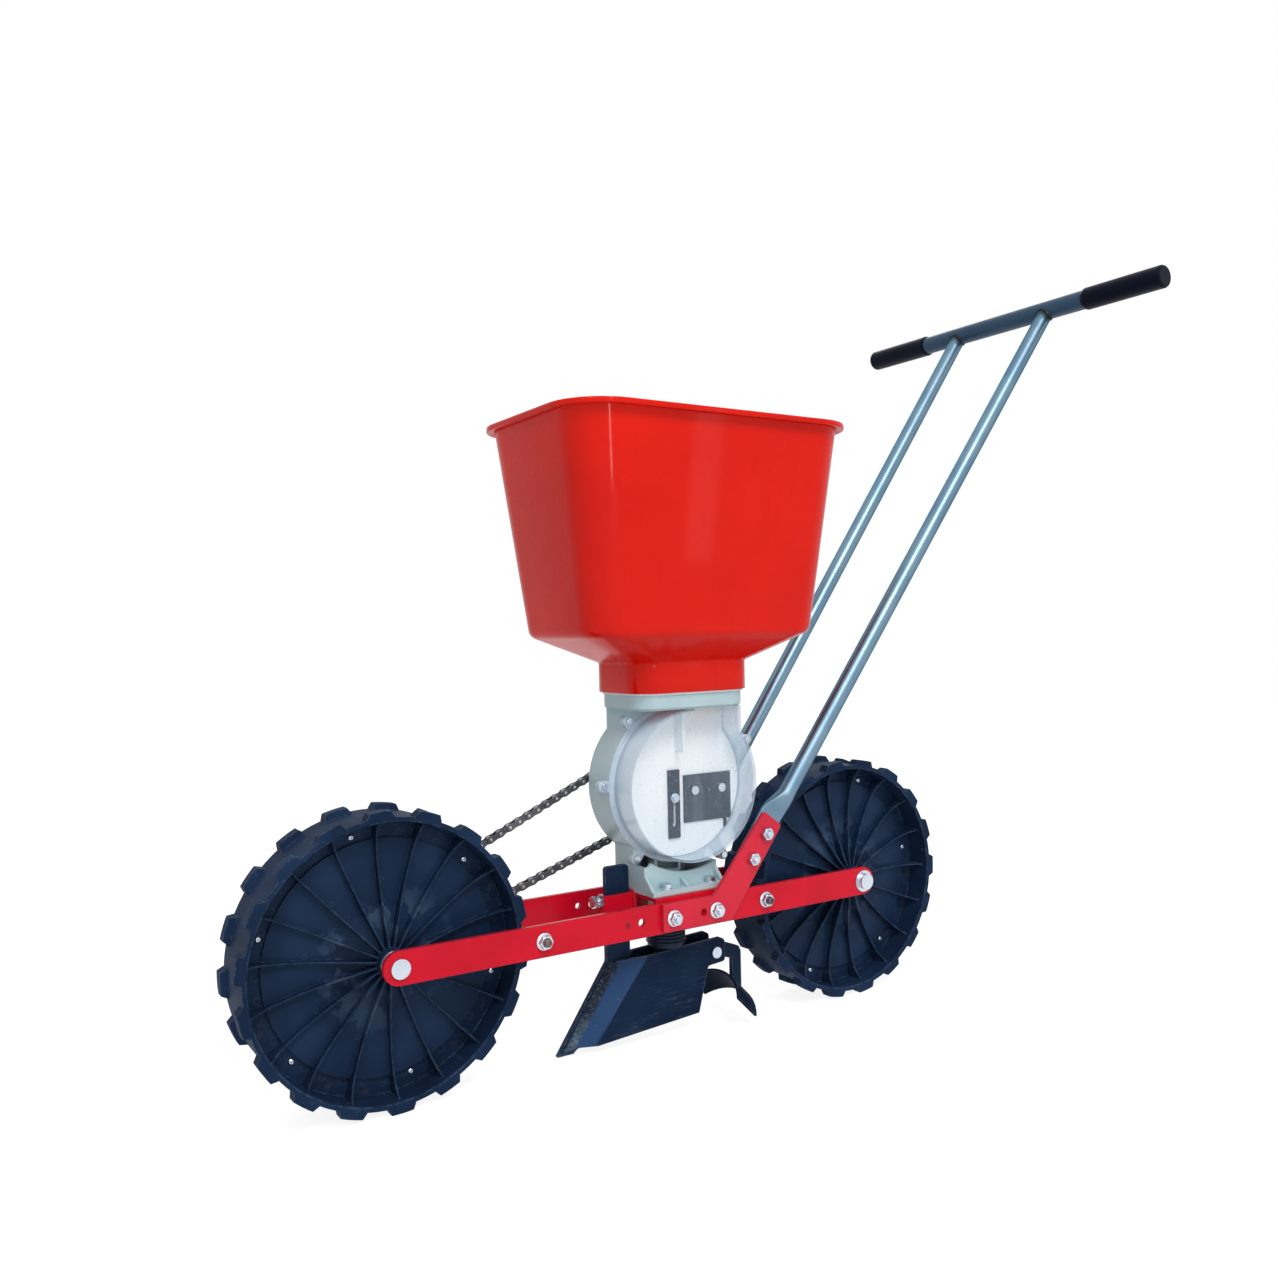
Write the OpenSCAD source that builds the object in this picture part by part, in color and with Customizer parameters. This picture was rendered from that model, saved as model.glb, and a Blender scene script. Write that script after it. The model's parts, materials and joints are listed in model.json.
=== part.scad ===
// Walk-behind seed planter, all lengths in millimetres.
// The source is laid out from the front axle: X runs back to the handle, Y to the chain side, Z up.
// place() moves it so that the ground is Z = 0 and the box is centred in X.

/* [Wheels] */
// Inner radius of the wheel rim
rim_r = 134; // [110:0.5:160]
// Wall of the rim
rim_t = 5; // [3:0.5:8]
// Height of the lugs over the rim
lug_h = 6.5; // [3:0.5:12]
// Lugs on each wheel half, the halves being half a pitch apart
lug_count = 18; // [12:1:24]
// Share of a pitch that one lug takes
lug_share = 0.5; // [0.3:0.05:0.7]
// Length of the lugs along the axle
lug_w = 15; // [8:0.5:24]
// How far the ends of a lug slope
lug_slope = 3.5; // [1:0.5:6]
// Width of the rim
wheel_w = 68; // [50:1:80]
// Radial ribs on each half
rib_count = 18; // [9:1:24]
// Thickness of a rib
rib_t = 1.8; // [1.4:0.1:4]
// Height of a rib over the web at the hub
rib_h = 11; // [4:0.5:14]
// Depth at which the ribs run out on the inside of the rim
rib_tip = 28; // [20:0.5:31]
// Radius that the hollow crest of a rib bends towards
rib_bow_r = 112; // [90:1:120]
// Thickness of the web
web_t = 3; // [2:0.5:5]
// Radius where the sloping web ends in the flat ring
web_r = 113; // [95:1:120]
// How far the web leans out from its ring to the hub
web_cone = 12.5; // [6:0.5:20]
// Radius inside which the web turns steeper
web_mid_r = 50; // [30:1:80]
// Depth of the step between the web and the flat ring
web_step = 3.5; // [2:0.5:12]
// Thickness of the flat ring that carries the screws
ring_t = 4; // [3:0.5:6]
// Radius of the hub
hub_r = 14; // [13:0.5:24]
// Length of the hub
hub_len = 76; // [70:1:84]
// Screws that join the two halves
wheel_screws = 6; // [3:1:9]
// Radius of the screw circle
screw_circle_r = 122; // [114:0.5:126]
// Diameter of the wheel screws
wheel_screw_d = 5; // [4:0.5:6]
// Turn of the front wheel in the photograph
front_phase = 13; // [0:1:60]
// Turn of the rear wheel in the photograph
rear_phase = 39; // [0:1:60]

/* [Axles] */
// Diameter of both axles
axle_d = 12; // [8:0.5:16]
// Diameter of the axle heads
axle_head_d = 19; // [15:0.5:24]
// Thickness of the front axle's flat heads
axle_head_t = 3; // [2:0.5:5]
// Thickness of the rear axle's heads
rear_head_t = 6; // [4:0.5:8]
// Diameter of the washers under the rear heads
rear_washer_d = 26; // [22:0.5:30]
// Thickness of those washers
rear_washer_t = 1.5; // [1:0.5:3]
// Outer diameter of the hub spacers
spacer_d = 20; // [16:0.5:26]
// Outer diameter of the washer face on a spacer
spacer_flange_d = 26; // [22:1:44]
// Thickness of that washer face
spacer_flange_t = 2; // [1:0.5:3]

/* [Frame] */
// Height of the flat bars
bar_h = 33; // [28:1:45]
// Thickness of the flat bars
bar_t = 5; // [4:0.5:8]
// Distance between the outer faces of the bars
frame_w = 111; // [100:1:130]
// Diameter of the frame bolts and of the tie rods
bolt_d = 8; // [6:0.5:10]
// Place of the front tie rod behind the front axle
front_tie_x = 152; // [150:1:165]
// Distance between the rear bracket bolt and the rear axle
rear_reach = 227; // [205:1:300]
// Place of the rear tie rod in front of the rear axle
rear_tie_back = 153; // [151:1:165]
// First spare hole in the front bars
spare_x1 = 252; // [230:1:260]
// Second spare hole in the front bars
spare_x2 = 270; // [262:1:280]
// Diameter of the first spare hole
spare_d1 = 7; // [5:0.5:9]
// Diameter of the second spare hole
spare_d2 = 8.5; // [6:0.5:10]
// Place of the front bracket bolt
bracket_bolt_x1 = 308; // [304:1:314]
// Place of the rear bracket bolt
bracket_bolt_x2 = 365; // [360:1:372]
// Place of the empty bracket hole
bracket_hole_x = 348; // [340:1:350]
// Front end of the bracket
bracket_x = 294.5; // [290:0.5:297]
// Thickness of the bracket plate
bracket_t = 5; // [4:0.5:8]
// Angle of the bracket arm and of the handle over the ground
handle_angle = 52.9; // [40:0.1:65]
// Place of the lower arm bolt, back from the front axle
arm_x = 416.5; // [410:0.5:424]
// Height of the lower arm bolt over the axles
arm_z = 50.5; // [46:0.5:56]
// Distance between the arm bolts
arm_pitch = 33; // [28:1:40]
// Length of the arm past its upper bolt
arm_over = 20; // [14:1:26]
// Width of the arm
arm_w = 30; // [24:1:36]

/* [Bed] */
// Front edge of the bed behind the front axle
bed_x = 291.5; // [290:0.5:296]
// Length of the bed
bed_len = 104; // [100:1:112]
// Sheet of the bed
bed_t = 4; // [3:0.5:6]
// Height of the bed top over the bars
bed_rise = 4.5; // [2:0.5:8]
// Seed outlet behind the front axle
outlet_x = 337; // [330:1:342]

/* [Opener] */
// Width of the shank
shank_w = 30; // [24:1:36]
// Thickness of the shank
shank_t = 6; // [5:0.5:8]
// Height of the shank top over the axles
shank_top = 52; // [40:1:60]
// Depth under the axles where the shank leans forward
shank_knee = 52; // [46:1:58]
// Lean of the leading edge from upright
rake = 35; // [25:0.5:42]
// Gap between the opener tip and the ground
tip_gap = 2; // [1:0.5:6]
// Outer width over the opener plates
opener_w = 34; // [30:0.5:44]
// Sheet of the opener plates
opener_t = 3; // [2:0.5:4]
// How far the plates start behind the leading edge
facet_set = 12; // [8:0.5:18]
// Length of the folded front facet, measured level
facet_w = 27; // [20:1:36]
// Depth of the plates' upper edge under the axles
plate_top = 50; // [46:1:56]
// Rear end of the plates at their upper edge
plate_rear_x = 383; // [376:1:390]
// Depth of the plates' rear corner under the axles
plate_low = 127; // [115:1:132]
// Place of the coverer pin behind the front axle
pin_x = 395; // [391:1:399]
// Depth of the coverer pin under the axles
pin_z = 62; // [58:1:66]
// Diameter of the coverer pin
pin_d = 10; // [8:0.5:12]
// Outer width of the clamp sleeve wall
sleeve_t = 4; // [3:0.5:6]
// Height of the clamp sleeve
sleeve_h = 40; // [30:1:44]
// Depth of the clamp bolt under the top of the sleeve
clamp_bolt_low = 6; // [5:0.5:14]
// Diameter of the clamp bolt
clamp_bolt_d = 8; // [6:0.5:10]

/* [Coverer] */
// Thickness of the coverer arm
cover_arm_t = 6; // [4:0.5:8]
// Reach of the coverer arm behind its pin
cover_reach = 47; // [34:1:50]
// Sheet of the coverer blade
blade_t = 3; // [2:0.5:4]
// Radius of the arched blade
blade_r = 68; // [56:1:90]
// Half of the arch angle
blade_half = 48; // [40:1:60]
// Length of the blade along its slope
blade_len = 36; // [26:1:40]
// Slope of the blade
blade_slope = 45; // [36:1:60]
// Depth of the blade's rear edge under the coverer pin
blade_low = 54; // [44:1:58]

/* [Handle] */
// Height of the handlebar over the axles
handle_z = 736; // [600:1:820]
// Diameter of the handle tubes
tube_d = 20; // [18:0.5:25]
// Wall of the handle tubes
tube_t = 1.6; // [1.2:0.1:2.5]
// Distance between the tubes at the handlebar
tube_top_w = 152; // [120:1:180]
// Distance between the tubes at the brackets
tube_low_w = 122; // [118:0.5:126]
// Diameter of the handlebar
handlebar_d = 25; // [22:0.5:30]
// Length of the handlebar
handlebar_len = 490; // [420:1:560]
// Outer diameter of the grips
grip_d = 29; // [27:0.5:34]
// Length of the grips
grip_len = 112; // [90:1:130]
// Closed end of the grips
grip_end = 4; // [3:0.5:6]

/* [Meter] */
// Meter shaft behind the front axle
meter_x = 351; // [346:0.5:354]
// Meter shaft over the axles
meter_z = 138; // [134:0.5:142]
// Outer radius of the round housing
shell_r = 90; // [84:0.5:94]
// Wall of the housing
shell_t = 5; // [4:0.5:7]
// Chain side face of the housing
shell_y1 = 36; // [34:0.5:37]
// Face that the clear cover seats on
shell_y0 = -7.5; // [-9:0.5:-6]
// Half width of the housing neck
neck_half = 64.5; // [60:0.5:68]
// Lower end of the hopper collar over the axles
collar_z = 224; // [222:0.5:230]
// Height of the hopper collar
collar_h = 17; // [14:0.5:20]
// Length of the collar along the row
collar_a = 146; // [142:1:152]
// Width of the collar across the row
collar_b = 98; // [94:1:104]
// Corner radius of the collar
collar_r = 26; // [20:1:32]
// Width of the collar's wall round the hopper's spigot
collar_wall = 8; // [6:0.5:10]
// Height of the floor under the spigot
collar_floor = 7; // [5:0.5:9]
// Rounding of the collar's lower edge
collar_edge = 2; // [1:0.5:3]
// Front end of the pedestal behind the front axle
pedestal_x = 290.5; // [288:0.5:293]
// Length of the pedestal
pedestal_len = 98; // [94:1:100]
// Wall of the pedestal
pedestal_t = 4; // [3:0.5:6]
// Depth of the pedestal across the row
pedestal_w = 60; // [50:1:70]
// Height of the webs that stiffen its foot
gusset_h = 16; // [10:1:20]
// Thickness of the base flange
flange_t = 6; // [4:0.5:8]
// Width of the base flange across the row
flange_w = 93; // [88:1:96]
// Diameter of the base bolts
base_bolt_d = 6; // [5:0.5:8]
// Outer diameter of the seed outlet
outlet_d = 38; // [30:1:40]
// Wall of the seed outlet
outlet_t = 3; // [2:0.5:4]
// Depth of the outlet's lower end under the axles
outlet_low = 22; // [19:0.5:26]
// Diameter of the meter shaft
shaft_d = 12; // [8:0.5:14]
// Outer radius of the clear cover
cover_r = 85.5; // [80:0.5:86]
// Depth of the clear cover
cover_depth = 39; // [34:0.5:42]
// Wall of the clear cover
cover_t = 2.5; // [2:0.5:4]
// Diameter of the cover's screw ears
ear_d = 12; // [10:0.5:13]
// Thickness of the ears on the housing
ear_t = 8; // [6:0.5:10]
// How far the ears of the shell stand past it
ear_reach = 7; // [6:0.5:9]
// How far the two rear ears stand past it
ear_far = 20; // [14:0.5:24]
// Diameter of the cover screws
cover_screw_d = 4; // [3:0.5:5]
// Radius of the seed wheel
seed_wheel_r = 78; // [70:0.5:80]
// Cups on the seed wheel
cup_count = 12; // [6:1:16]
// Place of the divider plate across the row
divider_y = -15; // [-16:0.5:-13]
// Depth of the shaft's bearing boss in the housing
shaft_boss = 10; // [6:0.5:12]
// Thickness of the divider plate
divider_t = 3; // [2:0.5:4]
// Place of the partition in front of the shaft
partition_front = 6; // [2:0.5:8]
// Depth of the partition in front of the divider
partition_w = 16; // [10:0.5:24]
// Place of the seed gate in front of the shaft
gate_front = 10; // [8:0.5:14]
// Lower end of the gate under the shaft
gate_low = 61.5; // [56:0.5:64]
// Length of the gate
gate_len = 77; // [60:1:80]
// Width of the gate
gate_w = 15; // [12:0.5:18]
// Thickness of the gate
gate_t = 3; // [2:0.5:4]
// Place of the gate's clamp screw under the shaft
gate_screw_low = 16; // [12:0.5:22]
// Diameter of the clamp screw and of the guard screws
gate_screw_d = 5; // [4:0.5:6]
// Length of the slot in the gate
gate_slot = 30; // [22:1:34]
// Lift of the gate
gate_travel = 20; // [12:1:22]
// Height of the port behind the gate
port_h = 8; // [5:0.5:9]
// Length of the cup guard along the row
guard_w = 66; // [50:1:74]
// Height of the cup guard
guard_h = 54; // [40:1:60]
// Thickness of the cup guard
guard_t = 2; // [1.5:0.5:3]

/* [Chain] */
// Chain pitch
pitch = 12.7; // [12.7, 9.525]
// Teeth on the drive sprocket
drive_teeth = 12; // [10:1:16]
// Teeth on the driven sprocket
driven_teeth = 21; // [16:1:24]
// Links in the chain
link_count = 76; // [60:2:110]
// Place of the chain across the row
chain_y = 43; // [42:0.5:44]
// Roller diameter
roller_d = 7.6; // [6:0.1:8]
// Height of the link plates
link_h = 9; // [7:0.5:10]
// Thickness of a link plate
link_t = 1.3; // [1:0.1:1.5]
// Inner width of the chain
link_gap = 3.4; // [3.2:0.1:3.6]
// Thickness of the sprockets
sprocket_t = 2.8; // [2.4:0.1:3]
// Diameter of the sprocket screws
sprocket_screw_d = 3; // [2:0.5:3.5]
// Radius of their circle
sprocket_screw_r = 10.3; // [10:0.1:11]

/* [Hopper] */
// Length of the rim along the row
rim_a = 377; // [340:1:400]
// Width of the rim across the row
rim_b = 249; // [220:1:270]
// Width of the rim flange
rim_flange = 9; // [6:0.5:12]
// Drop of the rim's outer lip
rim_lip = 6; // [4:0.5:9]
// Length of the body at its bottom
body_a = 301; // [270:1:320]
// Width of the body at its bottom
body_b = 177; // [150:1:200]
// Height of the tapered body
body_h = 235; // [180:1:260]
// Height of the funnel
funnel_h = 31; // [24:1:40]
// Height of the neck
neck_h = 33; // [28:1:40]
// Length of the neck along the row
hopper_neck_a = 156; // [150:1:160]
// Width of the neck across the row
hopper_neck_b = 108; // [104:1:112]
// Wall of the hopper
hopper_t = 3; // [2:0.5:4]
// Corner radius of the body at the rim
body_corner = 50; // [40:1:60]
// Corner radius of the body at its bottom
low_corner = 38; // [34:1:46]
// Corner radius of the neck
neck_corner = 30; // [24:1:36]
// Centre of the hopper across the row
hopper_y = -4; // [-6:0.5:-2]
// Thickness of the seal under the hopper
gasket_t = 2; // [1:0.5:3]

/* [Seed hose] */
// Outer diameter of the ribs
hose_d = 46; // [44:1:54]
// Ribs of the hose
hose_ribs = 8; // [5:1:9]
// Plain cuff at each end of the hose
hose_cuff = 4; // [3:0.5:6]
// Depth of the hose top under the axles
hose_top = 8; // [6:0.5:10]
// Wall of the hose
hose_t = 2; // [1.5:0.1:2.5]

/* [Fits] */
// Radial clearance of running fits
run_gap = 0.05; // [0.02:0.01:0.1]
// Radial clearance of bolts in their holes
hole_gap = 0.3; // [0.2:0.05:0.5]
// Clearance of pieces that slide or seat without touching
seat_gap = 0.3; // [0.2:0.05:0.5]

/* [Hidden] */
$fn = 48;
fillet_steps = 5;
eps = 0.01;
rim_out = rim_r + rim_t;
lug_r = rim_out + lug_h;
wheelbase = bracket_bolt_x2 + rear_reach;
ground = -lug_r;
handle_x = arm_x + (handle_z - arm_z) / tan(handle_angle);
front_x = -(handle_x + grip_d / 2 - lug_r) / 2;
bar_out = frame_w / 2;
bar_in = bar_out - bar_t;
bracket_out = bar_out + bracket_t;
front_bar_end = (bracket_bolt_x1 + bracket_bolt_x2) / 2;
rear_bar_start = front_bar_end + 1;
rear_tie_x = wheelbase - rear_tie_back;
bed_top = bar_h / 2 + bed_rise;
web_in = ring_t + web_step;
web_mid_y = -web_in - web_cone / 5;
bore_r = axle_d / 2 + run_gap;
sleeve_in_t = shank_t / 2 + seat_gap;
sleeve_x1 = bed_x - sleeve_t - seat_gap;
sleeve_x0 = sleeve_x1 - shank_w - seat_gap;
shank_x0 = sleeve_x0 + seat_gap / 2;
tip_z = ground + tip_gap;
tip_x = shank_x0 - (-shank_knee - tip_z) * tan(rake);
plate_in = opener_w / 2 - opener_t;
nut_h = bolt_d * 0.8;
nut_r = bolt_d * 0.95;
cover_face = shell_y0 - cover_depth;
neck_z = collar_z + collar_h + gasket_t;
funnel_z = neck_z + neck_h;
body_z = funnel_z + funnel_h;
rim_z = body_z + body_h;
drive_r = pitch / (2 * sin(180 / drive_teeth));
driven_r = pitch / (2 * sin(180 / driven_teeth));
hub_end = hub_len / 2;
sprocket_boss_y = chain_y + sprocket_t / 2 + 1.5;
sleeve_top = bed_top;
clamp_bolt_z = sleeve_top - clamp_bolt_low;
base_bolt_x = [pedestal_x + 23, pedestal_x + pedestal_len - 15];
base_bolt_y = flange_w / 2 - 8;
ears = [[178, ear_reach], [131, ear_reach], [22, ear_far], [-55, ear_far], [-125.3, ear_reach + 2]];
outlet_roof = meter_z - shell_r - ear_d / 2 - 8;
gate_x = meter_x - gate_front;
gate_z = meter_z - gate_low;
gate_screw_z = meter_z - gate_screw_low;
guard_x = meter_x + 4;
guard_z = meter_z - 46;
guard_screws = [[guard_x + 14, guard_z + 36], [guard_x + 52, guard_z + 36]];
partition_z = gate_z + gate_len + gate_travel + 2 * seat_gap;
blade_z0 = -pin_z - blade_low;
hose_low = -plate_top + 3;
seed_tube_d = opener_w - 2 * opener_t - 2;

// Helpers

module place() {
  translate([front_x, 0, lug_r]) children();
}

// Puts a flat outline drawn as back and up into the row plane, from y0 to y0 + t.
module upright(y0, t) {
  translate([0, y0 + t, 0]) rotate([90, 0, 0]) linear_extrude(t) children();
}

// A round bar along Y.
module across(x, z, y0, y1, r) {
  translate([x, y0, z]) rotate([-90, 0, 0]) cylinder(h = y1 - y0, r = r);
}

module hex_across(x, z, y0, y1, r) {
  translate([x, y0, z]) rotate([-90, 0, 0]) rotate([0, 0, 30]) cylinder(h = y1 - y0, r = r, $fn = 6);
}

module both_sides() {
  children();
  mirror([0, 1, 0]) children();
}

function unit(v) = v / norm(v);

// Points of a rounded corner at p between a and b.
function corner(a, p, b, r) =
  let (u = unit(a - p), w = unit(b - p), half = acos(u * w) / 2)
  let (c = p + unit(u + w) * r / sin(half), s = p + u * r / tan(half), e = p + w * r / tan(half))
  let (sa = atan2(s[1] - c[1], s[0] - c[0]), ea = atan2(e[1] - c[1], e[0] - c[0]))
  let (da = (ea - sa + 540) % 360 - 180)
  r == 0 ? [p] :
  [for (i = [0 : fillet_steps]) c + r * [cos(sa + da * i / fillet_steps), sin(sa + da * i / fillet_steps)]];

// A closed outline of [x, y, corner radius] entries with its corners rounded.
function rounded(pts) =
  [for (i = [0 : len(pts) - 1])
    let (a = pts[(i + len(pts) - 1) % len(pts)], p = pts[i], b = pts[(i + 1) % len(pts)])
    each corner([a[0], a[1]], [p[0], p[1]], [b[0], b[1]], p[2])];

module round_rect(a, b, r) {
  square([a, b - 2 * r], center = true);
  square([a - 2 * r, b], center = true);
  for (sx = [-1, 1], sy = [-1, 1]) translate([sx * (a / 2 - r), sy * (b / 2 - r)]) circle(r = r);
}

// Wheels

module web_profile() {
  cone_y = -web_in - web_cone;
  polygon([[bore_r, -hub_end], [hub_r, -hub_end], [hub_r, cone_y], [web_mid_r, web_mid_y], [web_r, -web_in],
    [web_r + web_t, -web_in], [web_r + web_t, -ring_t], [rim_r, -ring_t], [rim_r, -wheel_w / 2 + 1],
    [rim_r + 1, -wheel_w / 2], [rim_out, -wheel_w / 2], [rim_out, 0], [web_r, 0],
    [web_r, web_t - web_in], [web_mid_r, web_mid_y + web_t], [hub_r, cone_y + web_t], [hub_r, 0],
    [bore_r, 0]]);
}

// Point of the curve that leaves a towards b and arrives at c.
function bow(a, b, c, t) = (1 - t) * (1 - t) * a + 2 * t * (1 - t) * b + t * t * c;

// A rib's crest falls from the hub and climbs again up the inside of the rim.
module rib_profile() {
  inner = hub_r - 1;
  outer = rim_r + 1;
  crest = [for (t = [0 : 0.1 : 1.01])
    bow([inner, -web_in - web_cone - rib_h], [rib_bow_r, 0], [outer, -rib_tip], t)];
  polygon(concat(crest, [[outer, -1], [web_r + 1, -1], [web_r + 1, 1 - web_in], [web_mid_r, web_mid_y + 1],
    [inner, 1 - web_in - web_cone]]));
}

// Half a wheel with its open side towards -Y. Lugs are turned by lug_turn against the ribs.
module wheel_half(lug_turn) {
  difference() {
    union() {
      rotate([-90, 0, 0]) rotate_extrude() web_profile();
      for (i = [0 : rib_count - 1]) rotate([0, -i * 360 / rib_count, 0])
        translate([0, 0, -rib_t / 2]) linear_extrude(rib_t) rib_profile();
      intersection() {
        rotate([-90, 0, 0]) rotate_extrude()
          polygon([[rim_r + 1, -wheel_w / 2], [lug_r, -wheel_w / 2], [lug_r, -wheel_w / 2 + lug_w - 3],
            [rim_out, -wheel_w / 2 + lug_w], [rim_r + 1, -wheel_w / 2 + lug_w]]);
        for (i = [0 : lug_count - 1]) rotate([0, -lug_turn - i * 360 / lug_count, 0]) lug_wedge();
      }
    }
    for (i = [0 : wheel_screws - 1]) wheel_screw_place(i)
      across(0, 0, -ring_t - eps, eps, wheel_screw_d / 2 + hole_gap);
  }
}

// The wedge that one lug fills: its ends slope in from its foot on the rim to its top.
module lug_wedge() {
  foot = rim_out * sin(180 / lug_count * lug_share) + lug_slope / 2;
  top = foot - lug_slope;
  rotate([90, 0, 0]) translate([0, 0, -1]) linear_extrude(wheel_w)
    polygon([[rim_r, -foot], [rim_out, -foot], [lug_r + 1, -top],
      [lug_r + 1, top], [rim_out, foot], [rim_r, foot]]);
}

module wheel_screw_place(i) {
  rotate([0, -(i + 0.5) * 360 / wheel_screws, 0]) translate([screw_circle_r, 0, 0]) children();
}

module wheel_at(x, phase) {
  translate([x, 0, 0]) rotate([0, -phase, 0]) children();
}

module wheel_left(x, phase) {
  wheel_at(x, phase) wheel_half(0);
}

module wheel_right(x, phase) {
  wheel_at(x, phase) mirror([0, 1, 0]) wheel_half(180 / lug_count);
}

module wheel_screw_set(x, phase) {
  head_r = wheel_screw_d * 0.95;
  wheel_at(x, phase) for (i = [0 : wheel_screws - 1]) wheel_screw_place(i) {
    across(0, 0, -ring_t - wheel_screw_d * 0.7, -ring_t - seat_gap / 10, head_r);
    across(0, 0, -ring_t - seat_gap / 2, ring_t + wheel_screw_d, wheel_screw_d / 2);
    hex_across(0, 0, ring_t + seat_gap / 10, ring_t + wheel_screw_d * 0.8, head_r);
  }
}

// Sub-parts of the frame

module bar_shape(x0, x1, axle_at, holes) {
  difference() {
    union() {
      translate([x0, -bar_h / 2]) square([x1 - x0, bar_h]);
      translate([axle_at, 0]) circle(r = bar_h / 2);
    }
    translate([axle_at, 0]) circle(r = bore_r);
    for (h = holes) translate([h[0], 0]) circle(d = h[1]);
  }
}

module front_bar() {
  hole = bolt_d + 2 * hole_gap;
  upright(-bar_out, bar_t) bar_shape(0, front_bar_end, 0,
    [[front_tie_x, hole], [spare_x1, spare_d1], [spare_x2, spare_d2], [bracket_bolt_x1, hole]]);
}

module rear_bar() {
  hole = bolt_d + 2 * hole_gap;
  upright(-bar_out, bar_t) bar_shape(rear_bar_start, wheelbase, wheelbase,
    [[bracket_bolt_x2, hole], [rear_tie_x, hole]]);
}

module front_bar_left() { color("crimson") place() front_bar(); }

module front_bar_right() { color("crimson") place() mirror([0, 1, 0]) front_bar(); }

module rear_bar_left() { color("crimson") place() rear_bar(); }

module rear_bar_right() { color("crimson") place() mirror([0, 1, 0]) rear_bar(); }

module bed_channel() {
  color("firebrick") place() difference() {
    translate([bed_x, -bar_in, -bar_h / 2]) cube([bed_len, 2 * bar_in, bed_top + bar_h / 2]);
    translate([bed_x - 1, -bar_in + bed_t, -bar_h / 2 - 1])
      cube([bed_len + 2, 2 * (bar_in - bed_t), bed_top + bar_h / 2 + 1 - bed_t]);
    translate([outlet_x, 0, 0]) cylinder(h = 2 * bed_top, r = outlet_d / 2 + hole_gap);
    for (x = [bracket_bolt_x1, bracket_bolt_x2]) across(x, 0, -bar_out, bar_out, bolt_d / 2 + hole_gap);
    for (x = base_bolt_x, y = [-base_bolt_y, base_bolt_y])
      translate([x, y, 0]) cylinder(h = 2 * bed_top, r = base_bolt_d / 2 + hole_gap);
  }
}

module shank_clamp() {
  w = sleeve_in_t + sleeve_t;
  color("crimson") place() difference() {
    translate([0, 0, sleeve_top - sleeve_h]) linear_extrude(sleeve_h) difference() {
      polygon(rounded([[sleeve_x0 - sleeve_t, -w, 2], [bed_x, -w, 0],
        [bed_x, w, 0], [sleeve_x0 - sleeve_t, w, 2]]));
      translate([sleeve_x0, -sleeve_in_t]) square([sleeve_x1 - sleeve_x0, 2 * sleeve_in_t]);
    }
    translate([sleeve_x0 - sleeve_t - 1, 0, clamp_bolt_z]) rotate([0, 90, 0])
      cylinder(h = sleeve_t + 2, r = clamp_bolt_d / 2 + run_gap);
    across(sleeve_x0 + shank_w / 2, sleeve_top - sleeve_h / 2, -w - 1, w + 1, spare_d1 / 2);
  }
}

// Set bolt in the sleeve's front wall, with its head in front of the jam nut.
module clamp_bolt() {
  x0 = sleeve_x0 - sleeve_t;
  hex_h = clamp_bolt_d / 2;
  color("silver") place() translate([0, 0, clamp_bolt_z]) rotate([0, 90, 0]) {
    translate([0, 0, x0 - 2 * hex_h])
      cylinder(h = shank_x0 - seat_gap / 3 - x0 + 2 * hex_h, r = clamp_bolt_d / 2);
    for (k = [3, 1.05])
      translate([0, 0, x0 - k * hex_h]) cylinder(h = hex_h, r = clamp_bolt_d * 0.85, $fn = 6);
  }
}

// The plate that carries the handle, with a foot along the bars and a slanting arm.
module bracket() {
  d = [cos(handle_angle), sin(handle_angle)];
  n = [sin(handle_angle), -cos(handle_angle)];
  a = [arm_x, arm_z];
  tip = a + d * (arm_pitch + arm_over);
  right = a + n * arm_w / 2;
  low = -bar_h / 2 + 2;
  foot = right + d * (low - right[1]) / d[1];
  left = tip - n * arm_w / 2;
  root = [left[0] - (left[1] - bar_h / 2) * 0.86, bar_h / 2];
  end = tip + n * arm_w / 2;
  upright(-bracket_out, bracket_t) difference() {
    polygon(rounded([[bracket_x, low, 4], [foot[0], foot[1], 9], [end[0], end[1], 3], [left[0], left[1], 3],
      [root[0], root[1], 4], [bracket_x, bar_h / 2, 2]]));
    for (x = [bracket_bolt_x1, bracket_hole_x, bracket_bolt_x2])
      translate([x, 0]) circle(r = bolt_d / 2 + hole_gap);
    for (k = [0, 1]) translate(a + d * arm_pitch * k) circle(r = bolt_d / 2 + hole_gap);
  }
}

module bracket_left() { color("crimson") place() bracket(); }

module bracket_right() { color("crimson") place() mirror([0, 1, 0]) bracket(); }

// Bolt from the inside with a flanged nut on the outside, along -Y.
module flange_bolt(x, z, y_in, y_out) {
  across(x, z, y_out - nut_h - 2, y_in + seat_gap, bolt_d / 2);
  hex_across(x, z, y_in + seat_gap / 10, y_in + nut_h, bolt_d * 0.9);
  across(x, z, y_out - 1.6, y_out - seat_gap / 10, bolt_d * 1.12);
  hex_across(x, z, y_out - nut_h, y_out - 1.5, bolt_d * 0.92);
}

module bracket_bolts() {
  color("silver") place() both_sides()
    for (x = [bracket_bolt_x1, bracket_bolt_x2]) flange_bolt(x, 0, -bar_in + bed_t, -bracket_out);
}

module tie_rod(x) {
  across(x, 0, -bar_out - nut_h - 3, bar_out + nut_h + 3, bolt_d / 2);
  both_sides() {
    across(x, 0, -bar_out - 1.6, -bar_out - seat_gap / 10, bolt_d * 1.12);
    hex_across(x, 0, -bar_out - nut_h, -bar_out - 1.5, bolt_d * 0.92);
    hex_across(x, 0, -bar_in + seat_gap / 10, -bar_in + nut_h * 0.7, bolt_d * 0.92);
  }
}

module front_tie_rod() { color("silver") place() tie_rod(front_tie_x); }

module rear_tie_rod() { color("silver") place() tie_rod(rear_tie_x); }

// Sub-parts of the handle

// Frame whose X runs up the handle from the lower arm bolt and whose Y stays across the row.
module along_handle() {
  translate([arm_x, 0, arm_z]) rotate([0, -handle_angle, 0]) children();
}

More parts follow.
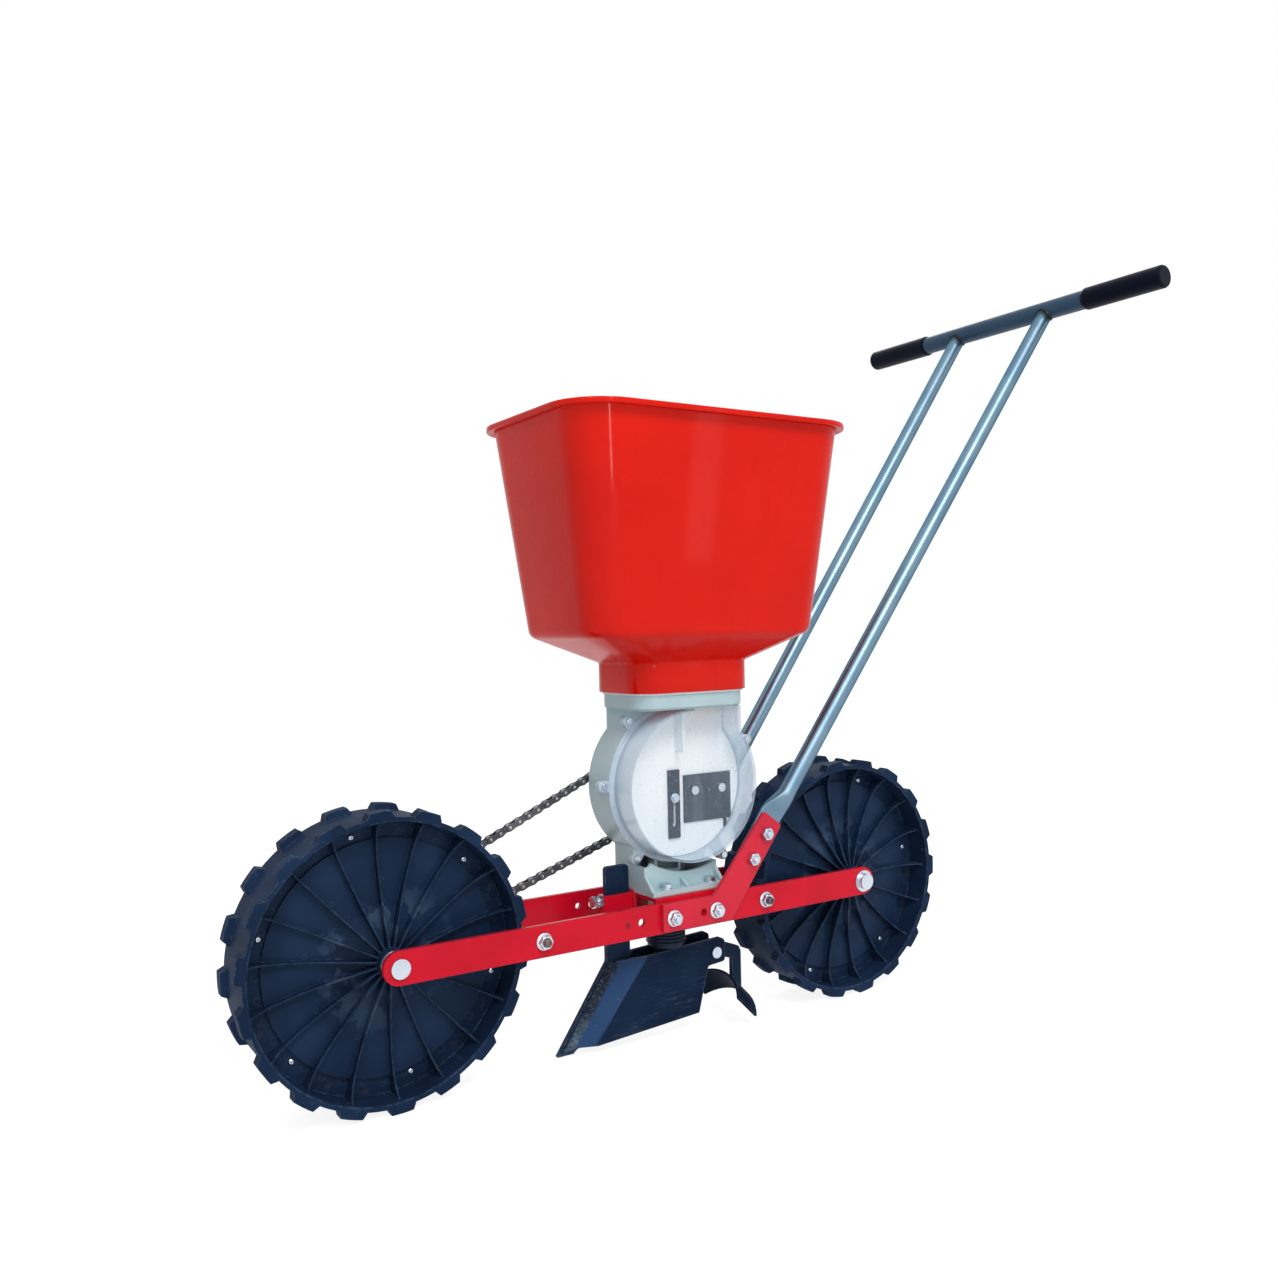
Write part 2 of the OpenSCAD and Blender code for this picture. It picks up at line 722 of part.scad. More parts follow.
module handle_tube() {
  tab_w = 3.1416 * tube_d / 4;
  tab_end = arm_pitch + arm_over + 2;
  low = [tab_end + 34, -tube_low_w / 2, 0];
  top = [(handle_z - arm_z) / sin(handle_angle), -tube_top_w / 2, 0];
  length = norm(top - low);
  turn = asin((low[1] - top[1]) / length);
  difference() {
    union() {
      along_handle() {
        difference() {
          union() {
            translate([0, -bar_out, 0]) rotate([-90, 0, 0]) cylinder(h = bar_t, r = tab_w);
            translate([0, -bar_out, -tab_w]) cube([tab_end, bar_t, 2 * tab_w]);
          }
          for (k = [0, 1]) translate([arm_pitch * k, -bar_out - 1, 0]) rotate([-90, 0, 0])
            cylinder(h = bar_t + 2, r = bolt_d / 2 + hole_gap);
        }
        hull() {
          translate([tab_end - 0.5, -bar_out, -tab_w]) cube([0.5, bar_t, 2 * tab_w]);
          translate(low) rotate([0, 0, -turn]) rotate([0, 90, 0])
            cylinder(h = 1, r = tube_d / 2 - 0.1, $fn = 32);
        }
      }
      along_handle() translate(low) rotate([0, 0, -turn]) rotate([0, 90, 0])
        difference() {
          cylinder(h = length, r = tube_d / 2);
          translate([0, 0, 2]) cylinder(h = length, r = tube_d / 2 - tube_t);
        }
    }
    across(handle_x, handle_z, -tube_top_w, tube_top_w, handlebar_d / 2 + seat_gap);
    translate([handle_x - tube_d, -tube_top_w, handle_z]) cube([2 * tube_d, 2 * tube_top_w, 2 * tube_d]);
  }
}

module handle_tube_left() { color("lightgray") place() handle_tube(); }

module handle_tube_right() { color("lightgray") place() mirror([0, 1, 0]) handle_tube(); }

module handle_bolts() {
  color("silver") place() both_sides() for (k = [0, 1])
    flange_bolt(arm_x + arm_pitch * k * cos(handle_angle), arm_z + arm_pitch * k * sin(handle_angle),
      -bar_in, -bracket_out);
}

module handlebar() {
  color("slategray") place() difference() {
    across(handle_x, handle_z, -handlebar_len / 2, handlebar_len / 2, handlebar_d / 2);
    for (s = [-1, 1]) across(handle_x, handle_z, s * handlebar_len / 2 - 40, s * handlebar_len / 2 + 40,
      handlebar_d / 2 - tube_t);
  }
}

module grip() {
  r = grip_d / 2;
  in_r = handlebar_d / 2 + run_gap;
  y_end = handlebar_len / 2 + grip_end;
  translate([handle_x, 0, handle_z]) rotate([-90, 0, 0]) rotate_extrude()
    polygon([[0, -y_end], [r - 3, -y_end], [r - 1, -y_end + 1], [r, -y_end + 3], [r, -y_end + grip_len - 3],
      [r - 1, -y_end + grip_len], [in_r, -y_end + grip_len], [in_r, -y_end + grip_end - seat_gap],
      [0, -y_end + grip_end - seat_gap]]);
}

module grip_left() { color("black") place() grip(); }

module grip_right() { color("black") place() mirror([0, 1, 0]) grip(); }

// Axles

module axle(x, washer_t, head_t) {
  seat = bar_out + seat_gap / 10;
  across(x, 0, -bar_out, bar_out, axle_d / 2);
  both_sides() {
    across(x, 0, -seat - washer_t - head_t, 1 - bar_out, axle_d / 2);
    across(x, 0, -seat - washer_t - head_t, -seat, axle_head_d / 2);
    if (washer_t > 0) across(x, 0, -seat - washer_t, -seat, rear_washer_d / 2);
  }
}

module spacer(x) {
  difference() {
    union() {
      across(x, 0, -bar_in + seat_gap / 10, -hub_end - seat_gap, spacer_d / 2);
      across(x, 0, -hub_end - seat_gap - spacer_flange_t, -hub_end - seat_gap, spacer_flange_d / 2);
    }
    across(x, 0, -bar_in - 1, -hub_end + 1, bore_r);
  }
}

module front_axle() { color("silver") place() axle(0, 0, axle_head_t); }

module rear_axle() { color("silver") place() axle(wheelbase, rear_washer_t, rear_head_t); }

module front_spacers() {
  color("gray") place() {
    spacer(0);
    difference() {
      across(0, 0, sprocket_boss_y + seat_gap, bar_in - seat_gap / 10, spacer_d / 2);
      across(0, 0, hub_end, bar_out, bore_r);
    }
  }
}

module rear_spacers() { color("gray") place() both_sides() spacer(wheelbase); }

// Wheel sub-parts

module front_wheel_left() { color("midnightblue") place() wheel_left(0, front_phase); }

module front_wheel_right() {
  color("midnightblue") place() difference() {
    wheel_right(0, front_phase);
    sprocket_screw_places() across(0, 0, hub_end - 14, hub_end + 1, sprocket_screw_d / 2 + hole_gap);
  }
}

module front_wheel_screws() { color("silver") place() wheel_screw_set(0, front_phase); }

module rear_wheel_left() { color("midnightblue") place() wheel_left(wheelbase, rear_phase); }

module rear_wheel_right() { color("midnightblue") place() wheel_right(wheelbase, rear_phase); }

module rear_wheel_screws() { color("silver") place() wheel_screw_set(wheelbase, rear_phase); }

// Meter sub-parts

// The clear cover's outline: a disc with a square neck over its rear half.
module cover_outline(inset, top) {
  translate([meter_x, meter_z]) circle(r = cover_r - inset);
  translate([meter_x + inset, meter_z]) square([neck_half - 2 * inset, top - meter_z]);
}

module ear_places() {
  for (e = ears)
    translate([meter_x + (shell_r + e[1]) * cos(e[0]), 0, meter_z + (shell_r + e[1]) * sin(e[0])]) children();
}

// Outline of the screw ears, each with a foot that runs in to the shell.
module ear_shapes() {
  for (e = ears) translate([meter_x, meter_z]) rotate(e[0]) {
    translate([shell_r + e[1], 0]) circle(d = ear_d);
    translate([shell_r - 4, -ear_d / 2]) square([e[1] + 4, ear_d]);
  }
}

// Square foot under the shell, with the seed outlet in it, cut back in front for the clear cover.
module pedestal() {
  difference() {
    union() {
      pedestal_box();
      translate([outlet_x, 0, -outlet_low])
        cylinder(h = meter_z + outlet_low - shell_r * 0.8, r = outlet_d / 2);
    }
    across(meter_x, meter_z, -flange_w, shell_y0, shell_r + ear_reach + seat_gap);
    ear_places() across(0, 0, -flange_w, shell_y0, ear_d / 2 + seat_gap);
  }
}

module pedestal_box() {
  y0 = -pedestal_w / 2;
  top = meter_z - shell_r * 0.64;
  base_h = bed_top + flange_t;
  mid_x = pedestal_x + (pedestal_len - pedestal_t) / 2;
  difference() {
    union() {
      translate([pedestal_x, y0, bed_top]) cube([pedestal_len, pedestal_w, top - bed_top]);
      translate([pedestal_x + 1, -flange_w / 2, bed_top]) cube([pedestal_len - 2, flange_w, flange_t]);
      for (x = [pedestal_x, pedestal_x + pedestal_len - pedestal_t]) gusset(x, y0, base_h, gusset_h);
      gusset(mid_x, y0, base_h, gusset_h * 0.6);
    }
    translate([pedestal_x + pedestal_t, y0 + pedestal_t, bed_top - 1])
      cube([pedestal_len - 2 * pedestal_t, pedestal_w - 2 * pedestal_t, top]);
    for (x = base_bolt_x, y = [-base_bolt_y, base_bolt_y])
      translate([x, y, bed_top - 1]) cylinder(h = flange_t + 2, r = base_bolt_d / 2 + hole_gap);
  }
}

// Triangular web between the pedestal wall and the base flange.
module gusset(x, y0, z, h) {
  edge = 1 - flange_w / 2;
  translate([x, 0, 0]) rotate([90, 0, 90]) linear_extrude(pedestal_t)
    polygon([[y0 + 1, z - 1], [y0 + 1, z + h], [edge, z], [edge, z - 1]]);
}

module collar_slab(z, h, inset) {
  translate([meter_x, hopper_y, z]) linear_extrude(h)
    round_rect(collar_a - 2 * inset, collar_b - 2 * inset, collar_r - inset);
}

module meter_housing() {
  in = shell_t;
  boss_r = shaft_d * 1.5;
  neck_w = 2 * (neck_half - in);
  collar_in = hopper_y - collar_b / 2 + collar_wall;
  bore = outlet_d / 2 - outlet_t;
  color("darkseagreen") place() difference() {
    union() {
      across(meter_x, meter_z, shell_y0, shell_y1, shell_r);
      across(meter_x, meter_z, shell_y1 - 1, shell_y1 + 1, boss_r);
      translate([meter_x - neck_half, shell_y0, meter_z])
        cube([2 * neck_half, shell_y1 - shell_y0, collar_z - meter_z + 1]);
      collar_slab(collar_z, collar_edge + 1, collar_edge);
      collar_slab(collar_z + collar_edge, collar_h - collar_edge, 0);
      pedestal();
      upright(shell_y0, ear_t) ear_shapes();
    }
    difference() {
      across(meter_x, meter_z, shell_y0 - 1, shell_y1 - in, shell_r - in);
      across(meter_x, meter_z, shell_y1 - in - shaft_boss, shell_y1, boss_r);
    }
    translate([meter_x - neck_w / 2, shell_y0 - 1, meter_z])
      cube([neck_w, shell_y1 - in - shell_y0 + 1, collar_z - meter_z + collar_h + 1]);
    translate([meter_x - neck_w / 2, collar_in, collar_z - 1])
      cube([neck_w, shell_y0 + 1 - collar_in, collar_h + 2]);
    collar_slab(collar_z + collar_floor, collar_h, collar_wall);
    translate([outlet_x, 0, -outlet_low - 1]) cylinder(h = outlet_roof + outlet_low + 1, r = bore);
    intersection() {
      translate([outlet_x, 0, 0]) cylinder(h = meter_z - shell_r * 0.5, r = bore);
      translate([0, shell_y0, 0]) cube([2 * meter_x, shell_y1, meter_z]);
    }
    across(meter_x, meter_z, 0, shell_y1 + 2, shaft_d / 2 + run_gap);
    ear_places() across(0, 0, shell_y0 - 1, shell_y0 + ear_t + 1, cover_screw_d / 2 + hole_gap);
  }
}

module clear_cover() {
  color("lightcyan") place() difference() {
    union() {
      upright(cover_face, cover_depth) cover_outline(0, collar_z);
      upright(shell_y0 - cover_t, cover_t) intersection() {
        union() {
          translate([meter_x, meter_z]) circle(r = shell_r);
          cover_outline(0, collar_z);
          ear_shapes();
        }
        translate([0, 0]) square([2 * meter_x, collar_z]);
      }
    }
    upright(cover_face + cover_t, cover_depth) cover_outline(cover_t, collar_z + 1);
    ear_places() across(0, 0, cover_face, shell_y0 + 1, cover_screw_d / 2 + hole_gap);
  }
}

module cover_screws() {
  d = cover_screw_d;
  y = shell_y0 - cover_t;
  color("silver") place() ear_places() {
    across(0, 0, y - d * 0.6, y - seat_gap / 10, d * 0.95);
    across(0, 0, y - seat_gap / 2, shell_y0 + ear_t - 1.5, d / 2);
  }
}

module divider_plate() {
  gap = cover_t + seat_gap;
  color("whitesmoke") place() difference() {
    union() {
      upright(divider_y, divider_t) cover_outline(gap, collar_z - seat_gap);
      upright(divider_y - partition_w, partition_w + 1) intersection() {
        cover_outline(gap, collar_z - seat_gap);
        translate([meter_x - partition_front, partition_z]) square([cover_t, collar_z - partition_z]);
      }
    }
    across(gate_x, gate_screw_z, divider_y - 1, divider_y + divider_t + 1, gate_screw_d / 2 + hole_gap);
    for (p = guard_screws)
      across(p[0], p[1], divider_y - 1, divider_y + divider_t + 1, gate_screw_d / 2 + hole_gap);
    translate([gate_x - gate_w / 3, divider_y - 1, gate_z + 3]) cube([gate_w * 2 / 3, divider_t + 2, port_h]);
    translate([gate_x - gate_w / 9, divider_y - 1, gate_screw_z - gate_slot])
      cube([gate_w * 2 / 9, divider_t + 2, gate_slot - gate_screw_d]);
  }
}

module divider_screws() {
  d = gate_screw_d;
  front = divider_y - gate_t - seat_gap / 3;
  back = divider_y + divider_t;
  color("silver") place() {
    across(gate_x, gate_screw_z, front - 1.5, front - seat_gap / 3, d * 1.1);
    across(gate_x, gate_screw_z, front - 1.5 - d * 0.6, front - 1.4, d * 0.8);
    across(gate_x, gate_screw_z, front - 2, back + d, d / 2);
    hex_across(gate_x, gate_screw_z, back + seat_gap / 10, back + d * 0.8, d * 0.9);
    for (p = guard_screws) {
      across(p[0], p[1], divider_y - guard_t - d * 0.6, divider_y - guard_t - seat_gap / 10, d);
      across(p[0], p[1], divider_y - guard_t - 1, back + d, d / 2);
      hex_across(p[0], p[1], back + seat_gap / 10, back + d * 0.8, d * 0.9);
    }
  }
}

// Black plate that keeps loose seed off the cups, with a thin leg at its rear.
module cup_guard() {
  color("black") place() upright(divider_y - guard_t, guard_t) difference() {
    intersection() {
      union() {
        translate([guard_x, guard_z]) square([guard_w, guard_h]);
        translate([guard_x + guard_w - 10, guard_z - 12]) square([3.5, 14]);
      }
      cover_outline(cover_t + 2 * seat_gap, collar_z);
    }
    for (p = guard_screws) translate(p) circle(r = gate_screw_d / 2 + hole_gap);
  }
}

module seed_gate() {
  color("black") place() upright(divider_y - gate_t - seat_gap / 3, gate_t) difference() {
    translate([gate_x - gate_w / 2, gate_z]) square([gate_w, gate_len]);
    translate([gate_x - gate_screw_d / 2 - seat_gap, gate_screw_z - gate_slot])
      square([gate_screw_d + 2 * seat_gap, gate_slot]);
    for (z = [gate_screw_z - gate_slot, gate_screw_z])
      translate([gate_x, z]) circle(r = gate_screw_d / 2 + seat_gap);
  }
}

module housing_bolts() {
  d = base_bolt_d;
  color("silver") place() for (x = base_bolt_x, y = [-base_bolt_y, base_bolt_y]) translate([x, y, 0]) {
    translate([0, 0, bed_top + flange_t + seat_gap / 10]) cylinder(h = 1.2, r = d * 1.1);
    translate([0, 0, bed_top + flange_t + 1.2]) cylinder(h = d * 0.7, r = d, $fn = 6);
    translate([0, 0, bed_top - bed_t - d]) cylinder(h = bed_t + flange_t + d + 2, r = d / 2);
    translate([0, 0, bed_top - bed_t - d * 0.8]) cylinder(h = d * 0.8 - seat_gap / 10, r = d * 0.9, $fn = 6);
  }
}

module meter_shaft() {
  color("silver") place() {
    across(meter_x, meter_z, -9, chain_y + 7, shaft_d / 2);
    hex_across(meter_x, meter_z, sprocket_boss_y + seat_gap / 10, chain_y + 6, shaft_d * 0.8);
  }
}

module seed_wheel() {
  cup_r = 6;
  color("dimgray") place() difference() {
    union() {
      across(meter_x, meter_z, -8, shell_y1 - shell_t - shaft_boss - seat_gap, shaft_d / 2 + 7);
      across(meter_x, meter_z, 6, 10, seed_wheel_r);
      cup_places(cup_r) across(0, 0, -6, 7, cup_r);
    }
    cup_places(cup_r) across(0, 0, -7, 4, cup_r - 1.8);
    across(meter_x, meter_z, -9, shell_y1, shaft_d / 2 + run_gap);
  }
}

module cup_places(cup_r) {
  translate([meter_x, 0, meter_z]) for (i = [0 : cup_count - 1])
    rotate([0, i * 360 / cup_count, 0]) translate([seed_wheel_r - cup_r - 2, 0, 0]) children();
}

// Chain and sprockets

chain_base = atan2(meter_z, meter_x);
chain_span = norm([meter_x, meter_z]);
chain_lean = asin((driven_r - drive_r) / chain_span);
run_len = chain_span * cos(chain_lean);
driven_arc = driven_r * (180 + 2 * chain_lean) * PI / 180;
drive_arc = drive_r * (180 - 2 * chain_lean) * PI / 180;
chain_len = 2 * run_len + driven_arc + drive_arc;

function polar(r, a) = [r * cos(a), r * sin(a)];

// Point of the chain loop at the distance s from the drive sprocket's upper tangent.
function chain_point(s) =
  let (up = chain_base + chain_lean + 90, low = chain_base - chain_lean - 90, b = [meter_x, meter_z])
  s < run_len ? polar(drive_r, up) + polar(s, up - 90) :
  s < run_len + driven_arc ? b + polar(driven_r, up - (s - run_len) / driven_r * 180 / PI) :
  s < 2 * run_len + driven_arc ? b + polar(driven_r, low) + polar(s - run_len - driven_arc, low - 90) :
  polar(drive_r, low - (s - 2 * run_len - driven_arc) / drive_r * 180 / PI);

chain_pins = [for (i = [0 : link_count - 1]) chain_point(chain_len * i / link_count)];

// Angle of the pin nearest to the middle of a sprocket's wrap, seen from its centre.
function pin_angle(s_mid, centre) =
  let (p = chain_pins[round(s_mid * link_count / chain_len) % link_count] - centre) atan2(p[1], p[0]);

module sprocket_shape(teeth, r, phase) {
  root = r - roller_d / 2 - 0.4;
  circle(r = root);
  for (i = [0 : teeth - 1]) rotate(phase + (i + 0.5) * 360 / teeth)
    polygon([[root - 2, -2.9], [root, -2.9], [r, -1.9], [r + roller_d * 0.42, -0.7],
      [r + roller_d * 0.42, 0.7], [r, 1.9], [root, 2.9], [root - 2, 2.9]]);
}

module drive_sprocket() {
  y0 = chain_y - sprocket_t / 2;
  phase = pin_angle(chain_len - drive_arc / 2, [0, 0]);
  color("dimgray") place() difference() {
    union() {
      upright(y0, sprocket_t) sprocket_shape(drive_teeth, drive_r, phase);
      across(0, 0, hub_end, y0 + 1, drive_r - link_h / 2 - 1);
      across(0, 0, y0, sprocket_boss_y, bore_r + 1.6);
    }
    across(0, 0, hub_end - 1, sprocket_boss_y + 1, bore_r);
    sprocket_screw_places() across(0, 0, hub_end - 1, sprocket_boss_y + 1, sprocket_screw_d / 2 + hole_gap);
  }
}

module sprocket_screw_places() {
  for (a = [45 : 90 : 315]) rotate([0, a, 0]) translate([sprocket_screw_r, 0, 0]) children();
}

module sprocket_screws() {
  y = chain_y + sprocket_t / 2;
  color("silver") place() sprocket_screw_places() {
    across(0, 0, y + seat_gap / 10, y + 1.5, sprocket_screw_d * 0.8);
    across(0, 0, hub_end - 12, y + 1, sprocket_screw_d / 2);
  }
}

module driven_sprocket() {
  y0 = chain_y - sprocket_t / 2;
  phase = pin_angle(run_len + driven_arc / 2, [meter_x, meter_z]);
  color("dimgray") place() difference() {
    union() {
      upright(y0, sprocket_t) translate([meter_x, meter_z]) sprocket_shape(driven_teeth, driven_r, phase);
      across(meter_x, meter_z, shell_y1 + 1 + seat_gap, sprocket_boss_y, shaft_d / 2 + 7);
    }
    across(meter_x, meter_z, shell_y1, sprocket_boss_y + 1, shaft_d / 2 + run_gap);
  }
}

// Outline of a link plate between two pins, its ends drawn with four points each.
function link_outline(p, q) =
  let (a = atan2(q[1] - p[1], q[0] - p[0]), r = link_h / 2)
  concat([for (d = [-90, -35, 35, 90]) q + polar(r, a + d)],
    [for (d = [90, 145, 215, 270]) p + polar(r, a + d)]);

module link_layer(first, y0) {
  both_chain_sides() upright(y0, link_t)
    for (i = [first : 2 : link_count - 1])
      polygon(link_outline(chain_pins[i], chain_pins[(i + 1) % link_count]));
}

module both_chain_sides() {
  children();
  translate([0, 2 * chain_y, 0]) mirror([0, 1, 0]) children();
}

module drive_chain() {
  half = link_gap / 2 + 2 * link_t;
  color("gray") place() {
    link_layer(0, chain_y + link_gap / 2);
    link_layer(1, chain_y + link_gap / 2 + link_t);
    upright(chain_y - link_gap / 2, link_gap) for (p = chain_pins) translate(p) circle(d = roller_d, $fn = 8);
    upright(chain_y - half - 0.4, 2 * half + 0.8) for (p = chain_pins) translate(p) circle(r = 1.8, $fn = 6);
  }
}

// Hopper

module hopper_slab(z, h, a, b, r) {
  translate([meter_x, hopper_y, z]) linear_extrude(h) round_rect(a, b, r, $fn = 32);
}

// Tapered body and funnel, moved in by inset.
module hopper_skin(inset, top) {
  a1 = rim_a - 2 * rim_flange - 2 * inset;
  b1 = rim_b - 2 * rim_flange - 2 * inset;
  hull() {
    hopper_slab(top - eps, eps, a1, b1, body_corner - inset);
    hopper_slab(body_z, eps, body_a - 2 * inset, body_b - 2 * inset, low_corner - inset);
  }
  hull() {
    hopper_slab(body_z, eps, body_a - 2 * inset, body_b - 2 * inset, low_corner - inset);
    hopper_slab(funnel_z - eps, eps, hopper_neck_a - 2 * inset, hopper_neck_b - 2 * inset,
      neck_corner - inset);
  }
  translate([meter_x, hopper_y, neck_z - inset]) linear_extrude(neck_h + inset)
    round_rect(hopper_neck_a - 2 * inset, hopper_neck_b - 2 * inset, neck_corner - inset);
}

module hopper() {
  spigot_in = collar_wall + seat_gap;
  spigot_a = collar_a - 2 * spigot_in;
  spigot_b = collar_b - 2 * spigot_in;
  spigot_r = collar_r - spigot_in;
  color("red") place() difference() {
    union() {
      hopper_skin(0, rim_z);
      hopper_slab(rim_z - hopper_t, hopper_t, rim_a, rim_b, body_corner + rim_flange);
      difference() {
        hopper_slab(rim_z - rim_lip, rim_lip, rim_a, rim_b, body_corner + rim_flange);
        hopper_slab(rim_z - rim_lip - 1, rim_lip + 2, rim_a - 5, rim_b - 5, body_corner + rim_flange - 2.5);
      }
      hopper_slab(collar_z + collar_floor + 1, neck_z - collar_z - collar_floor,
        spigot_a, spigot_b, spigot_r);
    }
    difference() {
      hopper_skin(hopper_t, rim_z + 1);
      hopper_slab(neck_z - hopper_t - 1, 2 * hopper_t + 1, rim_a, rim_b, body_corner);
    }
    hopper_slab(collar_z, neck_z - collar_z + neck_h / 2, spigot_a - 2 * hopper_t, spigot_b - 2 * hopper_t,
      spigot_r - hopper_t);
  }
}

module hopper_gasket() {
  color("white") place() difference() {
    hopper_slab(collar_z + collar_h, gasket_t, collar_a + 4, collar_b + 4, collar_r + 2);
    hopper_slab(collar_z + collar_h - 1, gasket_t + 2, collar_a - 2 * collar_wall + 1,
      collar_b - 2 * collar_wall + 1, collar_r - collar_wall + 0.5);
  }
}

// Opener sub-parts

module opener_shank() {
  x0 = shank_x0;
  x1 = x0 + shank_w;
  back = tan(rake);
  color("black") place() upright(-shank_t / 2, shank_t) polygon(rounded([
    [x0, shank_top, 4], [x0, -shank_knee, 6], [tip_x, tip_z, 0], [tip_x + 19, tip_z, 0],
    [tip_x + 24, tip_z + 4, 0], [x1 - (plate_low + 10 - shank_knee) * back, -plate_low - 10, 0],
    [x1, -shank_knee, 6], [x1, shank_top, 4]]));
}

// Folded sheet: a facet that leaves the leading edge and a flat side, cut to the plate's outline.
module opener_plate() {
  lead_x = shank_x0 + facet_set;
  reach = 260;
  s = cos(rake);
  half = opener_w / 2;
  inner = shank_t / 2 + seat_gap;
  fold = facet_w * s;
  dy = half - inner - opener_t;
  low_x = lead_x + facet_w - (plate_low + 9 - plate_top) * tan(rake);
  intersection() {
    translate([lead_x, 0, -plate_top]) rotate([0, rake, 0]) translate([0, 0, -reach / 2])
      linear_extrude(reach)
      polygon([[0, -inner], [fold, -half + opener_t], [reach, -half + opener_t], [reach, -half],
        [fold - opener_t * 0.2, -half], [-opener_t * 0.4, -inner - opener_t]]);
    upright(-half - 1, half + 1) polygon(rounded([
      [lead_x - 2, -plate_top - 2, 0], [low_x - facet_w - 1, -plate_low - 9, 0], [low_x, -plate_low - 9, 0],
      [plate_rear_x - 13, -plate_low, 0], [plate_rear_x + 1, -pin_z - 14, 3], [pin_x + 13, -pin_z - 12, 4],
      [pin_x + 13, -pin_z + 13, 5], [pin_x + 5, -pin_z + 17, 3], [lead_x + facet_w, -plate_top, 0]]));
  }
}

module opener_plate_left() {
  color("midnightblue") place() difference() {
    opener_plate();
    across(pin_x, -pin_z, -opener_w, 0, pin_d / 2 + run_gap);
  }
}

module opener_plate_right() {
  color("midnightblue") place() mirror([0, 1, 0]) difference() {
    opener_plate();
    across(pin_x, -pin_z, -opener_w, 0, pin_d / 2 + run_gap);
  }
}

// Funnel and tube that lead the seed down between the plates, with its saddle.
module seed_tube() {
  r = seed_tube_d / 2;
  saddle = plate_in - seat_gap / 10;
  top_r = outlet_d / 2;
  cup_z = hose_low + 3;
  cup_h = 6;
  low = -plate_low + 18;
  color("gray") place() difference() {
    union() {
      translate([outlet_x, 0, 0]) rotate_extrude()
        polygon([[r - outlet_t, low], [r, low], [r, hose_low], [top_r, cup_z], [top_r, cup_z + cup_h],
          [top_r - outlet_t, cup_z + cup_h], [top_r - outlet_t, cup_z], [r - outlet_t, hose_low]]);
      translate([outlet_x - r - 4, -saddle, hose_low - 30]) cube([2 * r + 8, 2 * saddle, opener_t]);
    }
    translate([outlet_x, 0, low - 1]) cylinder(h = hose_low - low + 1, r = r - outlet_t);
  }
}

module coverer_pin() {
  color("silver") place() {
    across(pin_x, -pin_z, -opener_w / 2 - 3, opener_w / 2 + 3, pin_d / 2);
    both_sides() across(pin_x, -pin_z, -opener_w / 2 - 3, -opener_w / 2 - seat_gap / 10, pin_d / 2 + 1.5);
  }
}

module seed_hose() {
  r0 = outlet_d / 2 + run_gap;
  r1 = hose_d / 2;
  top = -hose_top;
  rib_z = (top - hose_low - 2 * hose_cuff) / hose_ribs;
  outer = [for (i = [0 : hose_ribs - 1], k = [[0, 0], [0.25, 0.8], [0.5, 1], [0.75, 0.8]])
    [r0 + hose_t + (r1 - r0 - hose_t) * k[1], top - hose_cuff - (i + k[0]) * rib_z]];
  inner = [for (i = [hose_ribs - 1 : -1 : 0], k = [[0.75, 0.8], [0.5, 1], [0.25, 0.8], [0, 0]])
    [r0 + (r1 - r0 - hose_t) * k[1], top - hose_cuff - (i + k[0]) * rib_z]];
  color("black") place() translate([outlet_x, 0, 0]) rotate_extrude() polygon(concat(
    [[r0, top], [r0 + hose_t, top]], outer,
    [[r0 + hose_t, hose_low + hose_cuff], [r0 + hose_t, hose_low],
      [r0, hose_low], [r0, hose_low + hose_cuff]],
    inner));
}

// Coverer

module coverer_arm() {
  x1 = pin_x + cover_reach;
  color("black") place() difference() {
    union() {
      upright(-cover_arm_t / 2, cover_arm_t) polygon(rounded([
        [pin_x - 9, -pin_z + 9, 7], [pin_x + 16, -pin_z + 8, 6], [x1 - 3, -pin_z - 3, 1], [x1, -pin_z - 9, 1],
        [x1, blade_z0, 0], [x1 - 13, blade_z0 + 13 * tan(blade_slope), 0], [x1 - 13, -pin_z - 16, 2],
        [pin_x + 16, -pin_z - 11, 2], [pin_x - 9, -pin_z - 9, 7]]));
      across(pin_x, -pin_z, -plate_in + seat_gap, plate_in - seat_gap, pin_d / 2 + 4);
    }
    across(pin_x, -pin_z, -opener_w, opener_w, pin_d / 2 + run_gap);
  }
}

// Arched sheet whose crest slopes down to the rear under the arm.
module coverer_blade() {
  s = sin(blade_slope);
  c = cos(blade_slope);
  x1 = pin_x + cover_reach;
  outer = [for (k = [-8 : 8]) polar(blade_r, 90 + k * blade_half / 8)];
  inner = [for (k = [8 : -1 : -8]) polar(blade_r - blade_t, 90 + k * blade_half / 8)];
  color("black") place() translate([x1, 0, blade_z0]) rotate([0, blade_slope, 0])
    translate([-blade_len * 0.97, 0, -blade_r]) rotate([90, 0, 90]) linear_extrude(blade_len)
    polygon(concat(outer, inner));
}

front_bar_left();
front_bar_right();
rear_bar_left();
rear_bar_right();
bed_channel();
shank_clamp();
clamp_bolt();
bracket_left();
bracket_right();
bracket_bolts();
front_tie_rod();
rear_tie_rod();
handle_tube_left();
handle_tube_right();
handle_bolts();
handlebar();
grip_left();
grip_right();
front_axle();
rear_axle();
front_spacers();
rear_spacers();
hopper();
hopper_gasket();
meter_housing();
clear_cover();
cover_screws();
divider_plate();
divider_screws();
cup_guard();
housing_bolts();
drive_chain();
front_wheel_left();
front_wheel_right();
front_wheel_screws();
drive_sprocket();
sprocket_screws();
rear_wheel_left();
rear_wheel_right();
rear_wheel_screws();
meter_shaft();
seed_wheel();
driven_sprocket();
seed_gate();
opener_shank();
opener_plate_left();
opener_plate_right();
seed_tube();
coverer_pin();
seed_hose();
coverer_arm();
coverer_blade();
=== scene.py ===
import json
import math
import bpy
import numpy as np
from mathutils import Matrix, Vector


